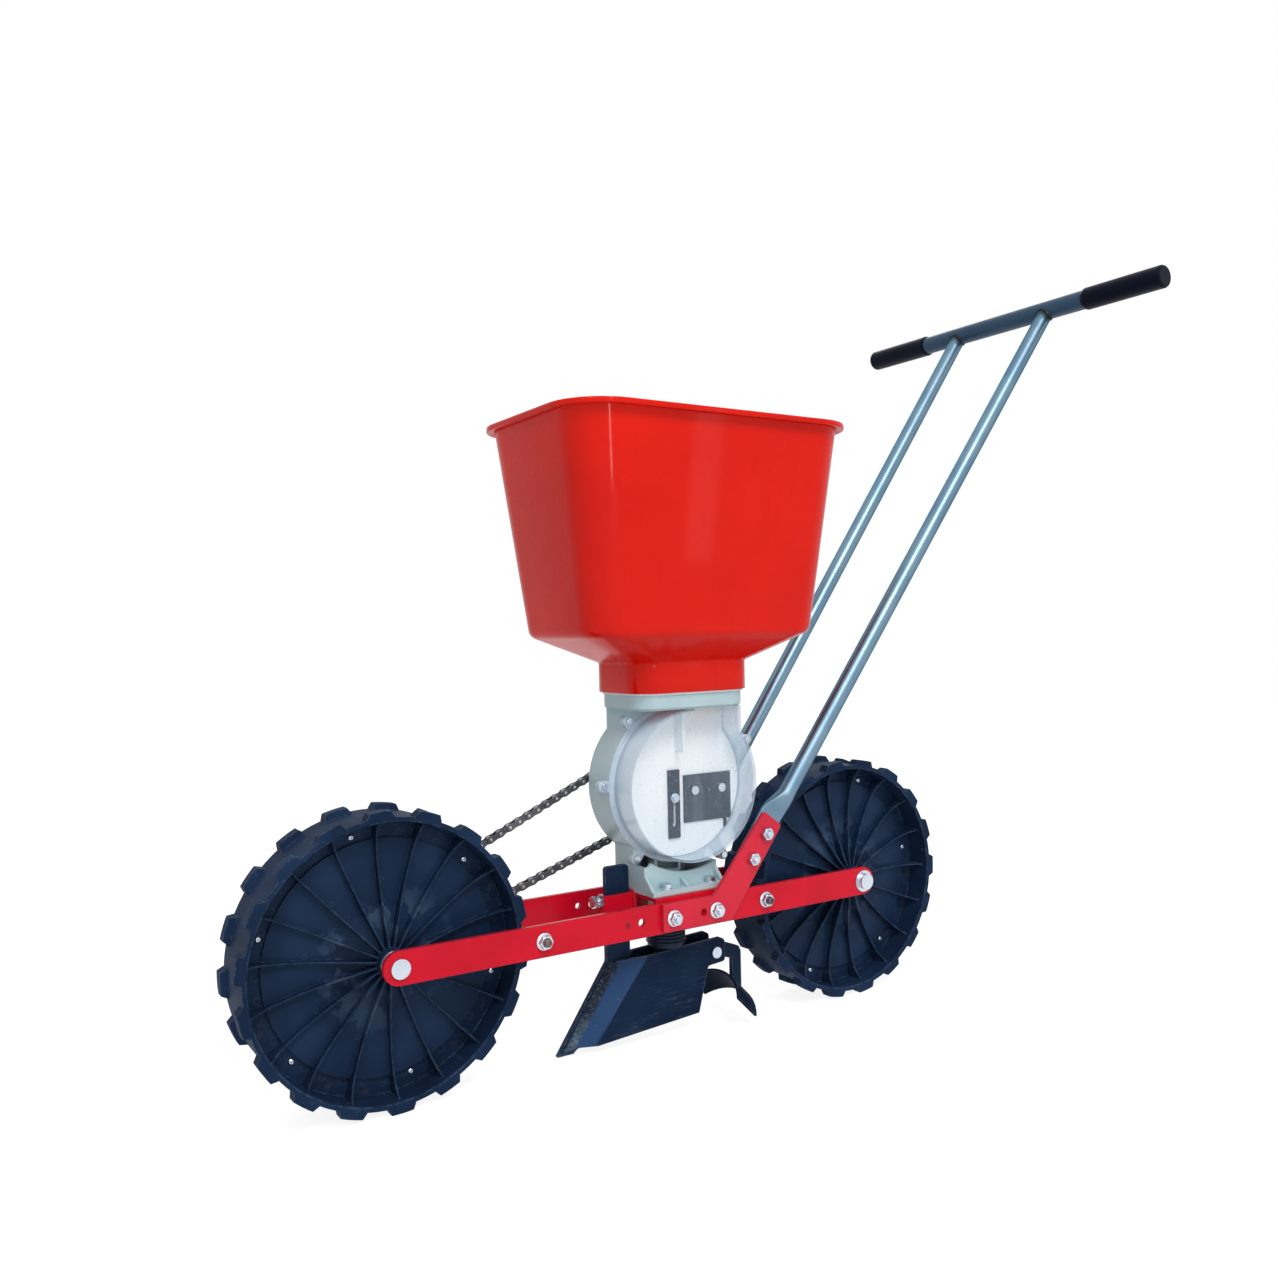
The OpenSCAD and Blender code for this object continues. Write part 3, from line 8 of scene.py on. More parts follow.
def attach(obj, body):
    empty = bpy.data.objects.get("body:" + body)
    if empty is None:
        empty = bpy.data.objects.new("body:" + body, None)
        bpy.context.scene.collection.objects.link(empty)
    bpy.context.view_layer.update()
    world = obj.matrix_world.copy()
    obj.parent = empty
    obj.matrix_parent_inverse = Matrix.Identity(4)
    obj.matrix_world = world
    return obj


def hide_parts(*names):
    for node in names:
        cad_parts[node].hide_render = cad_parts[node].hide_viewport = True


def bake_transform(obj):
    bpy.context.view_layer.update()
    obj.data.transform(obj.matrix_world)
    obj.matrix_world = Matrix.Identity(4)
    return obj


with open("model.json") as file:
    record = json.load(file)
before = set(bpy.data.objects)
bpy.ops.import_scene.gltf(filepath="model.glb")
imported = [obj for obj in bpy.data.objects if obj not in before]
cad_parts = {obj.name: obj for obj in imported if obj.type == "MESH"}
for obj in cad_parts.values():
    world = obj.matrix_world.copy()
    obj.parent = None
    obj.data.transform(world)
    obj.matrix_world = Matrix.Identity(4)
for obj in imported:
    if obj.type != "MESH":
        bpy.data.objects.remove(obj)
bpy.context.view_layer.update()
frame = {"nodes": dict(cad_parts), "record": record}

nodes = frame["nodes"]

# machine lengths in mm run from the front axle, x to the rear, y to the chain side, z up
frontX, axleZ, wheelbase = -401.97, 145.5, 592
meterAxle = (351, 138)  # x, z


def place(x, y, z):
    # machine millimetres to metres in the shared frame
    x, y, z = np.broadcast_arrays(np.asarray(x) + frontX, y, np.asarray(z) + axleZ)
    return np.stack([x, y, z], axis=-1).astype(float) / 1000


# camera

cameraSetup = {
    "position": (-375.13, -1062.51, 312.81),  # mm from the front axle
    "yaw": 32.8015,  # degrees from +Y towards +X
    "pitch": -0.4857,
    "roll": -1.2404,
    "focal": 1123.81, "width": 1278,  # pixels of the photograph
    "sensor": 36.0, "farthest": 50,
}


def makeCamera(c):
    # forward = (sin yaw cos pitch, cos yaw cos pitch, sin pitch), right and up turned by roll about it
    yaw, pitch, roll = (math.radians(c[k]) for k in ("yaw", "pitch", "roll"))
    forward = np.array([math.sin(yaw) * math.cos(pitch), math.cos(yaw) * math.cos(pitch), math.sin(pitch)])
    right = np.array([math.cos(yaw), -math.sin(yaw), 0])
    up = np.cross(right, forward)
    side = math.cos(roll) * right + math.sin(roll) * up
    top = -math.sin(roll) * right + math.cos(roll) * up
    data = bpy.data.cameras.new("camera")
    data.sensor_width = c["sensor"]
    data.lens = c["focal"] / c["width"] * c["sensor"]
    data.clip_end = c["farthest"]
    camera = bpy.data.objects.new("camera", data)
    turn = Matrix(np.stack([side, top, -forward], axis=1).tolist()).to_4x4()
    camera.matrix_world = Matrix.Translation(place(*c["position"]).tolist()) @ turn
    bpy.context.scene.collection.objects.link(camera)
    bpy.context.scene.camera = camera


makeCamera(cameraSetup)
print("camera placed")


# shader helpers

class Wire:
    # a number socket: + - * / ** on it add Math nodes
    def __init__(self, finish, socket):
        self.finish, self.socket = finish, socket

    def math(self, operation, *values):
        node = self.finish.node("ShaderNodeMath", {"operation": operation}, dict(enumerate(values)))
        return Wire(self.finish, node.outputs[0])

    def __add__(self, other):
        return self.math("ADD", self, other)

    def __radd__(self, other):
        return self.math("ADD", other, self)

    def __sub__(self, other):
        return self.math("SUBTRACT", self, other)

    def __rsub__(self, other):
        return self.math("SUBTRACT", other, self)

    def __mul__(self, other):
        return self.math("MULTIPLY", self, other)

    def __rmul__(self, other):
        return self.math("MULTIPLY", other, self)

    def __truediv__(self, other):
        return self.math("DIVIDE", self, other)

    def __pow__(self, other):
        return self.math("POWER", self, other)

    def root(self):
        return self.math("SQRT", self)

    def fraction(self):
        return self.math("FRACT", self)

    def near(self, at, width):
        # 1 at that value, down to 0 at width away from it
        return (1 - self.math("ABSOLUTE", self - at) / width).clamp()

    def clamp(self):
        return self.math("MINIMUM", self.math("MAXIMUM", self, 0.0), 1.0)

    def step(self, low, high):
        # 0 under low, 1 over high, smooth between
        node = self.finish.node("ShaderNodeMapRange", {"interpolation_type": "SMOOTHSTEP"},
                                {0: self, 1: low, 2: high, 3: 0.0, 4: 1.0})
        return Wire(self.finish, node.outputs[0])


class Finish:
    # one material, with its coordinates in metres, or the world's shader
    def __init__(self, name, world=None):
        self.material = world or bpy.data.materials.new(name)
        self.material.use_nodes = True
        self.tree = self.material.node_tree
        self.tree.nodes.clear()
        self.where = self.node("ShaderNodeTexCoord").outputs["Object"]
        self.output = self.node("ShaderNodeOutputWorld" if world else "ShaderNodeOutputMaterial")

    def node(self, kind, settings=None, inputs=None):
        # a new node; an input is a constant, another node's socket or a Wire
        made = self.tree.nodes.new(kind)
        for key, value in (settings or {}).items():
            setattr(made, key, value)
        for key, value in (inputs or {}).items():
            socket = made.inputs[key]
            if isinstance(value, Wire):
                value = value.socket
            if isinstance(value, bpy.types.NodeSocket):
                self.tree.links.new(value, socket)
            elif isinstance(value, (tuple, list)) and len(value) == 3 and socket.type == "RGBA":
                socket.default_value = (*value, 1)
            else:
                socket.default_value = value
        return made

    def noise(self, scale, detail=3, rough=0.5, at=None):
        made = self.node("ShaderNodeTexNoise", {}, {"Vector": at or self.where, "Scale": scale,
                                                    "Detail": detail, "Roughness": rough})
        return Wire(self, made.outputs["Fac"])

    def stretched(self, size, turn=(0, 0, 0)):
        # coordinates for marks drawn out along an axis whose size is small
        made = self.node("ShaderNodeMapping", {}, {"Vector": self.where, "Scale": size, "Rotation": turn})
        return made.outputs[0]

    def axis(self, k):
        return Wire(self, self.node("ShaderNodeSeparateXYZ", {}, {0: self.where}).outputs[k])

    def polar(self, x, z):
        # distance from an axle along Y at (x, z), and the angle round it in turns
        across, up = self.axis(0) - x, self.axis(2) - z
        return (across * across + up * up).root(), up.math("ARCTAN2", up, across) / (2 * math.pi)

    def facing(self):
        # 0 where the surface is seen square on, 1 where it is seen edge on
        return Wire(self, self.node("ShaderNodeLayerWeight", {}, {"Blend": 0.5}).outputs["Facing"])

    def rounded(self, radius):
        # the normal as if edges were rounded by that radius
        return self.node("ShaderNodeBevel", {"samples": 4}, {"Radius": radius}).outputs[0]

    def edges(self, radius=0.002, gain=6):
        # high at sharp edges, 0 on flat faces: gain (1 - rounded normal . normal)
        geometry = self.node("ShaderNodeNewGeometry")
        dot = self.node("ShaderNodeVectorMath", {"operation": "DOT_PRODUCT"},
                        {0: self.rounded(radius), 1: geometry.outputs["Normal"]})
        return (1 - Wire(self, dot.outputs["Value"])) * gain

    def mix(self, factor, a, b):
        # colour a where the factor is 0, b where it is 1; inputs 6 and 7 and output 2 are the colour ones
        made = self.node("ShaderNodeMix", {"data_type": "RGBA"}, {0: factor, 6: a, 7: b})
        return made.outputs[2]

    def drift(self, a, b, scale, detail=3, low=0.3, high=0.75):
        # a tone that wanders slowly between two colours
        return self.mix(self.noise(scale, detail).step(low, high), a, b)

    def bump(self, height, strength, distance, soft=None):
        inputs = {"Height": height, "Strength": strength, "Distance": distance}
        if soft:
            inputs["Normal"] = self.rounded(soft)
        return self.node("ShaderNodeBump", {}, inputs).outputs[0]

    def body(self, colour, roughness, metallic, normal, **extra):
        inputs = {"Base Color": colour, "Roughness": roughness, "Metallic": metallic, "Normal": normal}
        inputs.update({key.replace("_", " "): value for key, value in extra.items()})
        return self.node("ShaderNodeBsdfPrincipled", {}, inputs)

    def done(self, shader):
        self.tree.links.new(shader.outputs[0], self.output.inputs[0])
        return self.material


# finishes: noise takes its cells per metre and its detail, step the values between which a mark fades in

white = (1, 1, 1)
navyTint = (0.5, 0.72, 1.0)
grainDepth = 0.0002  # metres


def paintFinish(name, colour, dark, rough, grain, wear, worn, gloss, coat, tint=white):
    # enamel: base tone wanders between colour and dark, orange-peel bump, worn at the edges, a few chips
    f = Finish(name)
    base = f.drift(colour, dark, 14)
    peel = f.noise(600, 2)
    chips = f.noise(170, 3, 0.6).step(0.735, 0.75)
    base = f.mix(chips * 0.6, base, worn)
    if wear:
        scratch = f.noise(260, 4, 0.7, f.stretched((1, 1, 0.15), (0.5, 0.2, 0.4)))
        mask = (f.edges() * 1.4 + scratch * 0.8 - 1.1 + wear).clamp()
        base = f.mix(mask, base, worn)
    normal = f.bump(peel, grain, grainDepth, soft=0.0012)
    return f.done(f.body(base, rough + 0.12 * f.noise(40, 3), 0.0, normal, Coat_Weight=coat,
                         Coat_Roughness=0.1, Specular_IOR_Level=gloss, Specular_Tint=tint))


def zincFinish(name, colour, blue, rough, drawn=0.04, tint=white):
    # zinc or bare steel: a faint drift between two tones, a fine drawn grain
    f = Finish(name)
    base = f.drift(colour, blue, 22, 2, 0.35, 0.7)
    normal = f.bump(f.noise(500, 3, 0.6), drawn, grainDepth, soft=0.0008)
    return f.done(f.body(base, rough + 0.14 * f.noise(60, 3), 1.0, normal, Specular_Tint=tint))


def plasticFinish(name, colour, other, rough, grain, size=700, gloss=0.3, tint=white):
    # moulded plastic: slow tone drift, fine grain, rounded edges
    f = Finish(name)
    base = f.drift(colour, other, 9, 2, 0.35, 0.7)
    roughness = rough + 0.15 * (f.noise(30, 4) - 0.5)
    normal = f.bump(f.noise(size, 2), grain, grainDepth, soft=0.0012)
    return f.done(f.body(base, roughness, 0.0, normal, Specular_IOR_Level=gloss, Specular_Tint=tint))


hopperTones = {"red": (0.73, 0.009, 0.0015), "deep": (0.64, 0.006, 0.0015), "flow": (0.6, 0.004, 0.001),
               "rubbed": (0.85, 0.16, 0.1), "shine": (1.0, 0.55, 0.45)}


def hopperFinish(name, tones):
    # glossy red: slow drift, faint upright flow lines, fine rubbed specks, a slight waviness
    f = Finish(name)
    base = f.drift(tones["red"], tones["deep"], 7, 2)
    flow = f.noise(90, 4, 0.6, f.stretched((1, 1, 0.06)))
    base = f.mix(flow.step(0.52, 0.72) * 0.3, base, tones["flow"])
    rubbed = f.noise(420, 3, 0.7).step(0.66, 0.72) * f.noise(12, 3).step(0.5, 0.65)
    base = f.mix(rubbed * 0.35, base, tones["rubbed"])
    wavy = f.noise(16, 2) + 0.02 * f.noise(500, 2)
    roughness = 0.2 + 0.16 * f.noise(30, 4) + 0.2 * rubbed
    return f.done(f.body(base, roughness, 0.0, f.bump(wavy, 0.25, 0.002), Coat_Weight=0.22,
                         Coat_Roughness=0.06, Specular_IOR_Level=0.05, Specular_Tint=tones["shine"]))


wheelTones = {"navy": (0.006, 0.016, 0.043), "pale": (0.012, 0.029, 0.074), "sheenPatch": (0.06, 0.1, 0.17),
              "mark": (0.05, 0.085, 0.14), "edge": (0.13, 0.2, 0.3), "scrape": (0.11, 0.17, 0.26),
              "dust": (0.085, 0.08, 0.07), "shine": (0.45, 0.68, 1.0)}
wheelPlaces = {  # metres from the axle
    "sheenPatch": (0.048, 0.03), "tread": (0.13, 0.132), "dust": (0.127, 0.007),
    # radius, number, size and shift in parts of their spacing
    "marks": ((0.055, 18, 0.0028, 0.0), (0.077, 9, 0.0022, 0.25), (0.1205, 36, 0.003, 0.5)),
    "markEdge": 0.0007}


def wheelFinish(name, x, tones, places):
    # navy plastic: lighter, glossier patches by the hub that carry a painted sheen, ejector marks, scuffed
    # tread edges, dust along the rim
    f = Finish(name)
    r, turn = f.polar(x / 1000, axleZ / 1000)
    base = f.drift(tones["navy"], tones["pale"], 15, 3, 0.35)
    # the lighter patch colour by the hub is a painted sheen; the patch is also made glossier
    sheenPatch = f.noise(42, 3).step(0.54, 0.6) * r.near(*places["sheenPatch"])
    base = f.mix(sheenPatch * 0.55, base, tones["sheenPatch"])

    def marks(radius, count, size, shift):
        # distance to the nearest of count discs on a circle: root(arc^2 + (r - radius)^2)
        arc = ((turn * count + shift).fraction() - 0.5) * (2 * math.pi * radius / count)
        away = r - radius
        return (arc * arc + away * away).root().near(size, places["markEdge"])

    inner, middle, outer = (marks(*row) for row in places["marks"])
    discs = inner + middle + outer
    base = f.mix(discs.clamp() * 0.35, base, tones["mark"])
    rub = f.noise(130, 4, 0.7)
    edge = f.edges(0.0016).clamp()
    tread = r.step(*places["tread"])
    base = f.mix((edge * rub.step(0.42, 0.6) * (0.25 + 0.45 * tread)).clamp(), base, tones["edge"])
    scrape = f.noise(190, 4, 0.7, f.stretched((1, 0.12, 1))).step(0.64, 0.7) * tread
    base = f.mix(scrape * 0.25, base, tones["scrape"])
    dust = f.noise(75, 5, 0.7).step(0.5, 0.68) * r.near(*places["dust"])
    base = f.mix(dust * 0.4, base, tones["dust"])
    height = 0.3 * f.noise(450, 2) + discs + 0.5 * f.noise(24, 2)
    roughness = 0.36 + 0.16 * f.noise(26, 3) - 0.14 * sheenPatch + 0.2 * dust + 0.25 * tread
    return f.done(f.body(base, roughness, 0.0, f.bump(height, 0.2, 0.0006, soft=0.0011),
                         Specular_IOR_Level=0.16, Specular_Tint=tones["shine"]))


coverTone = (0.68, 0.83, 0.96)
coverFlange = (-0.0125, -0.0112)  # y in metres between which the dome turns into the flange


def clearFinish(name, tone, flangeY):
    # clear plastic: the flange and edges look white, the walls and what is seen edge on are made white as a
    # painted reflection, the face is see-through
    f = Finish(name)
    flange = f.axis(1).step(*flangeY)
    flow = f.noise(30, 4, 0.6, f.stretched((1, 1, 0.2)))
    specks = f.noise(330, 3, 0.6).step(0.66, 0.7)
    edge = f.edges(0.0012).clamp()
    seen = f.facing()
    normal = f.node("ShaderNodeNewGeometry").outputs["Normal"]
    sideways = Wire(f, f.node("ShaderNodeSeparateXYZ", {}, {0: normal}).outputs[1])
    wall = 1 - sideways.math("ABSOLUTE", sideways).step(0.2, 0.8)
    # the wall term and the edge-on term paint a white reflection into the opacity
    hazeAndPaintedReflection = 0.05 + 0.08 * flow.step(0.45, 0.75) + 0.6 * flange + 0.5 * wall + 0.4 * edge
    hazeAndPaintedReflection = (hazeAndPaintedReflection + 0.3 * seen ** 3 + 0.25 * specks).clamp()
    return f.done(f.body(tone, 0.08 + 0.1 * f.noise(50, 3), 0.0, f.bump(flow, 0.1, 0.001, soft=0.001),
                         Alpha=hazeAndPaintedReflection, IOR=1.49, Specular_IOR_Level=0.7))


plateTones = {"black": (0.005, 0.014, 0.038), "pale": (0.01, 0.024, 0.056), "paintedLitFacet": (0.03, 0.072, 0.175),
              "grit": (0.06, 0.085, 0.12), "spot": (0.2, 0.22, 0.24), "edge": (0.12, 0.17, 0.23)}
plateFold = {
    "top": (-0.102, 0.0931), "way": (0.631, 0.776),  # x, z in metres; its direction
    "blend": 0.0008,
}


def plateFinish(name, tones, fold):
    # black plate, painted lighter blue in front of its fold for the light that falls on that facet, rubbed
    # low down, scratched
    f = Finish(name)
    x, z = f.axis(0), f.axis(2)
    # distance in front of the fold: (point - top) across the fold's direction
    front = (z - fold["top"][1]) * fold["way"][0] - (x - fold["top"][0]) * fold["way"][1]
    # painted light: the facet in front of the fold is made lighter blue
    paintedLitFacet = front.step(-fold["blend"], fold["blend"])
    base = f.drift(tones["black"], tones["pale"], 20)
    base = f.mix(paintedLitFacet * (0.75 + 0.25 * f.noise(40, 4)), base, tones["paintedLitFacet"])
    # depth under a line that rises to the rear, 50 mm up at x = -0.15
    low = (0.05 - z + 0.3 * (x + 0.15)).step(0.0, 0.05)
    grit = f.noise(240, 5, 0.7, f.stretched((0.12, 1, 1), (0, -0.25, 0)))
    base = f.mix((grit.step(0.52, 0.7) * (0.12 + 0.5 * low)).clamp(), base, tones["grit"])
    spots = f.noise(120, 3, 0.6).step(0.715, 0.73)
    base = f.mix(spots * 0.7, base, tones["spot"])
    mask = (f.edges() * 1.3 + grit * 0.6 - 0.75).clamp()
    base = f.mix(mask, base, tones["edge"])
    return f.done(f.body(base, 0.3 + 0.25 * grit, 0.0, f.bump(grit, 0.15, 0.0005, soft=0.001),
                         Specular_IOR_Level=0.06, Specular_Tint=navyTint))


def weldFinish(name, dark, light, metallic, soil, polish=(0.11, 0.17, 0.23)):
    # weld metal: dark scale in the hollows, bright on the crests; polished by soil below that height
    f = Finish(name)
    lumps = f.noise(330, 5, 0.7)
    low = (soil - f.axis(2) + 0.02 * f.noise(60, 3)).step(0.0, 0.03)
    base = f.mix(lumps.step(0.5, 0.68), dark, light)
    base = f.mix((low * (0.35 + 0.65 * f.noise(200, 4).step(0.4, 0.6))).clamp(), base, polish)
    return f.done(f.body(base, 0.35 + 0.3 * f.noise(150, 3), metallic, f.bump(lumps, 0.6, 0.0012),
                         Specular_IOR_Level=0.2))


def soilFinish(name, low, colour, other, worn, gloss, bare=(0.2, 0.26, 0.32)):
    # black steel, scoured bright below that height, with fine scratches along the way it is drawn
    f = Finish(name)
    base = f.drift(colour, other, 20)
    grit = f.noise(260, 5, 0.7, f.stretched((0.15, 1, 1)))
    scour = (low - f.axis(2) + 0.03 * (f.noise(40, 3) - 0.5)).step(0.0, 0.03)
    scoured = scour * (0.3 + 0.7 * grit.step(0.42, 0.62)) + 0.25 * grit.step(0.62, 0.7)
    base = f.mix(scoured.clamp(), base, worn)
    base = f.mix((f.edges(0.0012) * 0.6).clamp() * grit.step(0.45, 0.6), base, bare)
    return f.done(f.body(base, 0.34 + 0.2 * grit, 0.0, f.bump(grit, 0.12, 0.0005, soft=0.0008),
                         Specular_IOR_Level=gloss, Specular_Tint=navyTint))


paints = {  # colour, darker colour, roughness, orange peel, wear, worn colour, gloss, coat, tint
    "enamelRed": ((0.68, 0.004, 0.024), (0.56, 0.003, 0.018), 0.26, 0.08, 0.1, (0.2, 0.03, 0.04), 0.14, 0.06),
    "bracketRed": ((0.7, 0.012, 0.04), (0.6, 0.008, 0.032), 0.26, 0.08, 0.1, (0.3, 0.05, 0.06), 0.25, 0.1),
    "openerBlack": ((0.006, 0.015, 0.04), (0.011, 0.026, 0.06), 0.3, 0.15, 0.12, (0.12, 0.16, 0.2), 0.1, 0.0,
                    navyTint),
    "slatePaint": ((0.035, 0.075, 0.13), (0.026, 0.058, 0.105), 0.3, 0.1, 0.0, (0.35, 0.35, 0.36), 0.25, 0.0,
                   navyTint),
}
metals = {  # tone, second tone, roughness, drawn grain, edge tint
    "chainSteel": ((0.11, 0.115, 0.13), (0.07, 0.07, 0.085), 0.36, 0.2),
    "pinSteel": ((0.45, 0.42, 0.4), (0.3, 0.28, 0.27), 0.3, 0.2),
    "rodSteel": ((0.2, 0.15, 0.13), (0.1, 0.1, 0.12), 0.38, 0.3),
    # tubeZinc's dark edge tint paints shade along the tube's edges, where it is seen edge on
    "tubeZinc": ((0.19, 0.29, 0.37), (0.155, 0.25, 0.34), 0.3, 0.01, (0.15, 0.32, 0.42)),
    "nutZinc": ((0.62, 0.68, 0.75), (0.5, 0.57, 0.68), 0.22),
}
plastics = {  # colour, second colour, roughness, grain, grain cells per metre, gloss, tint
    "meterGreen": ((0.46, 0.61, 0.65), (0.4, 0.55, 0.59), 0.36, 0.12),
    "dividerWhite": ((0.94, 0.97, 0.98), (0.86, 0.92, 0.95), 0.35, 0.1),
    "guardBlack": ((0.012, 0.02, 0.045), (0.02, 0.032, 0.06), 0.35, 0.1, 700, 0.15),
    "gripRubber": ((0.0015, 0.0018, 0.007), (0.003, 0.003, 0.011), 0.38, 0.25, 900, 0.1, navyTint),
    "hoseRubber": ((0.006, 0.01, 0.024), (0.011, 0.017, 0.034), 0.34, 0.2, 900, 0.3, navyTint),
}
soilTones = {  # height that is scoured in metres, colour, second colour, worn colour, gloss
    "shankBlack": (0.022, (0.006, 0.015, 0.04), (0.011, 0.026, 0.06), (0.085, 0.14, 0.2), 0.1),
    "bladeBlack": (0.03, (0.004, 0.009, 0.024), (0.007, 0.015, 0.036), (0.02, 0.032, 0.05), 0.02),
}
weldTones = {  # hollows, crests, metallic, height that is polished in metres
    "weldBlack": ((0.006, 0.014, 0.032), (0.085, 0.115, 0.15), 0.1, 0.035),
    "weldBrown": ((0.02, 0.018, 0.02), (0.2, 0.15, 0.12), 0.55, 0.0),
}

finishes = {
    "hopperRed": hopperFinish("hopperRed", hopperTones),
    "clearCover": clearFinish("clearCover", coverTone, coverFlange),
    "wheelNavyFront": wheelFinish("wheelNavyFront", frontX, wheelTones, wheelPlaces),
    "wheelNavyRear": wheelFinish("wheelNavyRear", frontX + wheelbase, wheelTones, wheelPlaces),
    "openerPlate": plateFinish("openerPlate", plateTones, plateFold),
}
for make, rows in ((paintFinish, paints), (zincFinish, metals), (plasticFinish, plastics),
                   (soilFinish, soilTones), (weldFinish, weldTones)):
    for name, row in rows.items():
        finishes[name] = make(name, *row)

slotFinish = {
    "frame_red": "enamelRed", "bright_zinc": "nutZinc", "dark_steel": "chainSteel", "hopper_red": "hopperRed",
    "housing_green": "meterGreen", "clear_plastic": "clearCover", "white_plastic": "dividerWhite",
    "black_plastic": "guardBlack", "wheel_plastic": "wheelNavyFront", "black_paint": "openerBlack",
    "slate_paint": "slatePaint", "grip_rubber": "gripRubber", "hose_rubber": "hoseRubber",
}
nodeFinish = {  # nodes whose name starts so take this finish instead
    "bracket_l": "bracketRed", "bracket_r": "bracketRed", "front_wheel_l": "wheelNavyFront",
    "front_wheel_r": "wheelNavyFront", "rear_wheel_l": "wheelNavyRear", "rear_wheel_r": "wheelNavyRear",
    "handle_tube": "tubeZinc", "opener_plate": "openerPlate", "opener_shank": "shankBlack",
    "coverer_b": "bladeBlack",
}
for part in frame["record"]["subparts"]:
    node = nodes[part["node"]]
    name = slotFinish[part["material_slot"]]
    for start, other in nodeFinish.items():
        if part["node"].startswith(start):
            name = other
    node.data.materials.clear()
    node.data.materials.append(finishes[name])
print("finishes set")


# mesh helpers

def gridFaces(grid, ring=False):
    # quads over a grid of points grid[i, j] that closes over j; over i it closes into a ring or has two caps
    rows, columns = grid.shape[:2]
    at = np.arange(rows * columns).reshape(rows, columns)
    turn = np.vstack([at, at[:1]]) if ring else at
    turn = np.hstack([turn, turn[:, :1]])
    faces = np.stack([turn[:-1, :-1], turn[:-1, 1:], turn[1:, 1:], turn[1:, :-1]], axis=-1)
    faces = faces.reshape(-1, 4).tolist()
    return faces if ring else faces + [at[0, ::-1].tolist(), at[-1].tolist()]


def sheetMesh(name, grid, finish, ring=False):
    return meshObject(name, grid.reshape(-1, 3), gridFaces(grid, ring), finish, True)


def meshObject(name, points, faces, finish, smooth):
    # points in metres; the faces end up outwards
    mesh = bpy.data.meshes.new(name)
    mesh.from_pydata(np.asarray(points).tolist(), [], faces)
    mesh.polygons.foreach_set("use_smooth", np.full(len(mesh.polygons), smooth))
    mesh.materials.append(finishes[finish])
    if insideOut(mesh):
        mesh.flip_normals()
    thing = bpy.data.objects.new(name, mesh)
    bpy.context.scene.collection.objects.link(thing)
    return thing


def insideOut(mesh):
    # sum over triangles of a . (b x c), the enclosed volume times six, is negative when faces point inwards
    mesh.calc_loop_triangles()
    at = np.empty(len(mesh.vertices) * 3)
    mesh.vertices.foreach_get("co", at)
    corners = np.empty(len(mesh.loop_triangles) * 3, dtype=int)
    mesh.loop_triangles.foreach_get("vertices", corners)
    a, b, c = at.reshape(-1, 3)[corners.reshape(-1, 3)].transpose(1, 0, 2)
    return np.einsum("ij,ij->", a, np.cross(b, c)) < 0


def seat(thing, body, slot, *replaced):
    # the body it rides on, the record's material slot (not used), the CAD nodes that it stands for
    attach(thing, body)
    if replaced:
        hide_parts(*replaced)


def around(steps):
    # equal angles over a full turn
    return np.linspace(0, 2 * math.pi, steps, endpoint=False)


def roundedRing(halfA, halfB, radius, steps):
    # corner k: centre (+-(a - r), +-(b - r)) plus r (cos t, sin t), t over that quarter
    t = (np.arange(4)[:, None] * 90 + np.linspace(0, 90, steps)[None]) * math.pi / 180
    sx = np.array([1, -1, -1, 1])[:, None]
    sy = np.array([1, 1, -1, -1])[:, None]
    a, b, r = (np.asarray(v, float)[..., None, None] for v in (halfA, halfB, radius))
    x = sx * (a - r) + r * np.cos(t)
    y = sy * (b - r) + r * np.sin(t)
    return x.reshape(*np.shape(halfA), -1), y.reshape(*np.shape(halfA), -1)


def joined(name, grids, finish, smooth=False):
    # one object of many closed grids in machine millimetres
    points, faces, shift = [], [], 0
    for grid in grids:
        points.append(grid.reshape(-1, 3))
        faces.extend([[v + shift for v in face] for face in gridFaces(grid)])
        shift += len(points[-1])
    return meshObject(name, place(*np.concatenate(points).T), faces, finish, smooth)


def copies(grid, origins, angles):
    # the same grid at many places: turned by its angle about Y, then moved
    x, y, z = np.moveaxis(grid, -1, 0)[:, None]
    c, s = (v[:, None, None] for v in (np.cos(angles), np.sin(angles)))
    spun = np.stack(np.broadcast_arrays(x * c - z * s, y, x * s + z * c), axis=-1)
    return spun + origins[:, None, None]


# hopper

hopperShape = {
    "centre": (meterAxle[0], -4),  # x, y
    "neck": (156, 108, 30), "neckLow": 243.2, "neckTop": 276,  # length, width, corner radius, mm
    "body": (301, 177, 38), "bodyLow": 307,
    "rim": (359, 231, 50), "rimTop": 542,
    "wall": 3, "flange": 9,
    "fold": 7, "neckFold": 2.2, "rimFold": 1.6, "foldSteps": 7, "cornerSteps": 14,
    # edges as rise over the foot or the rim's top, and inset
    "footEdge": ((0, 0.6), (0.6, 0)),
    "lipEdge": ((-6.2, 2.3), (-6, 1.8), (-6, 0.6), (-5.5, 0), (-1.3, 0), (-0.4, 0.4), (0, 1.3)),
    "mouthEdge": ((0, -0.8), (-0.7, -0.1)),
}


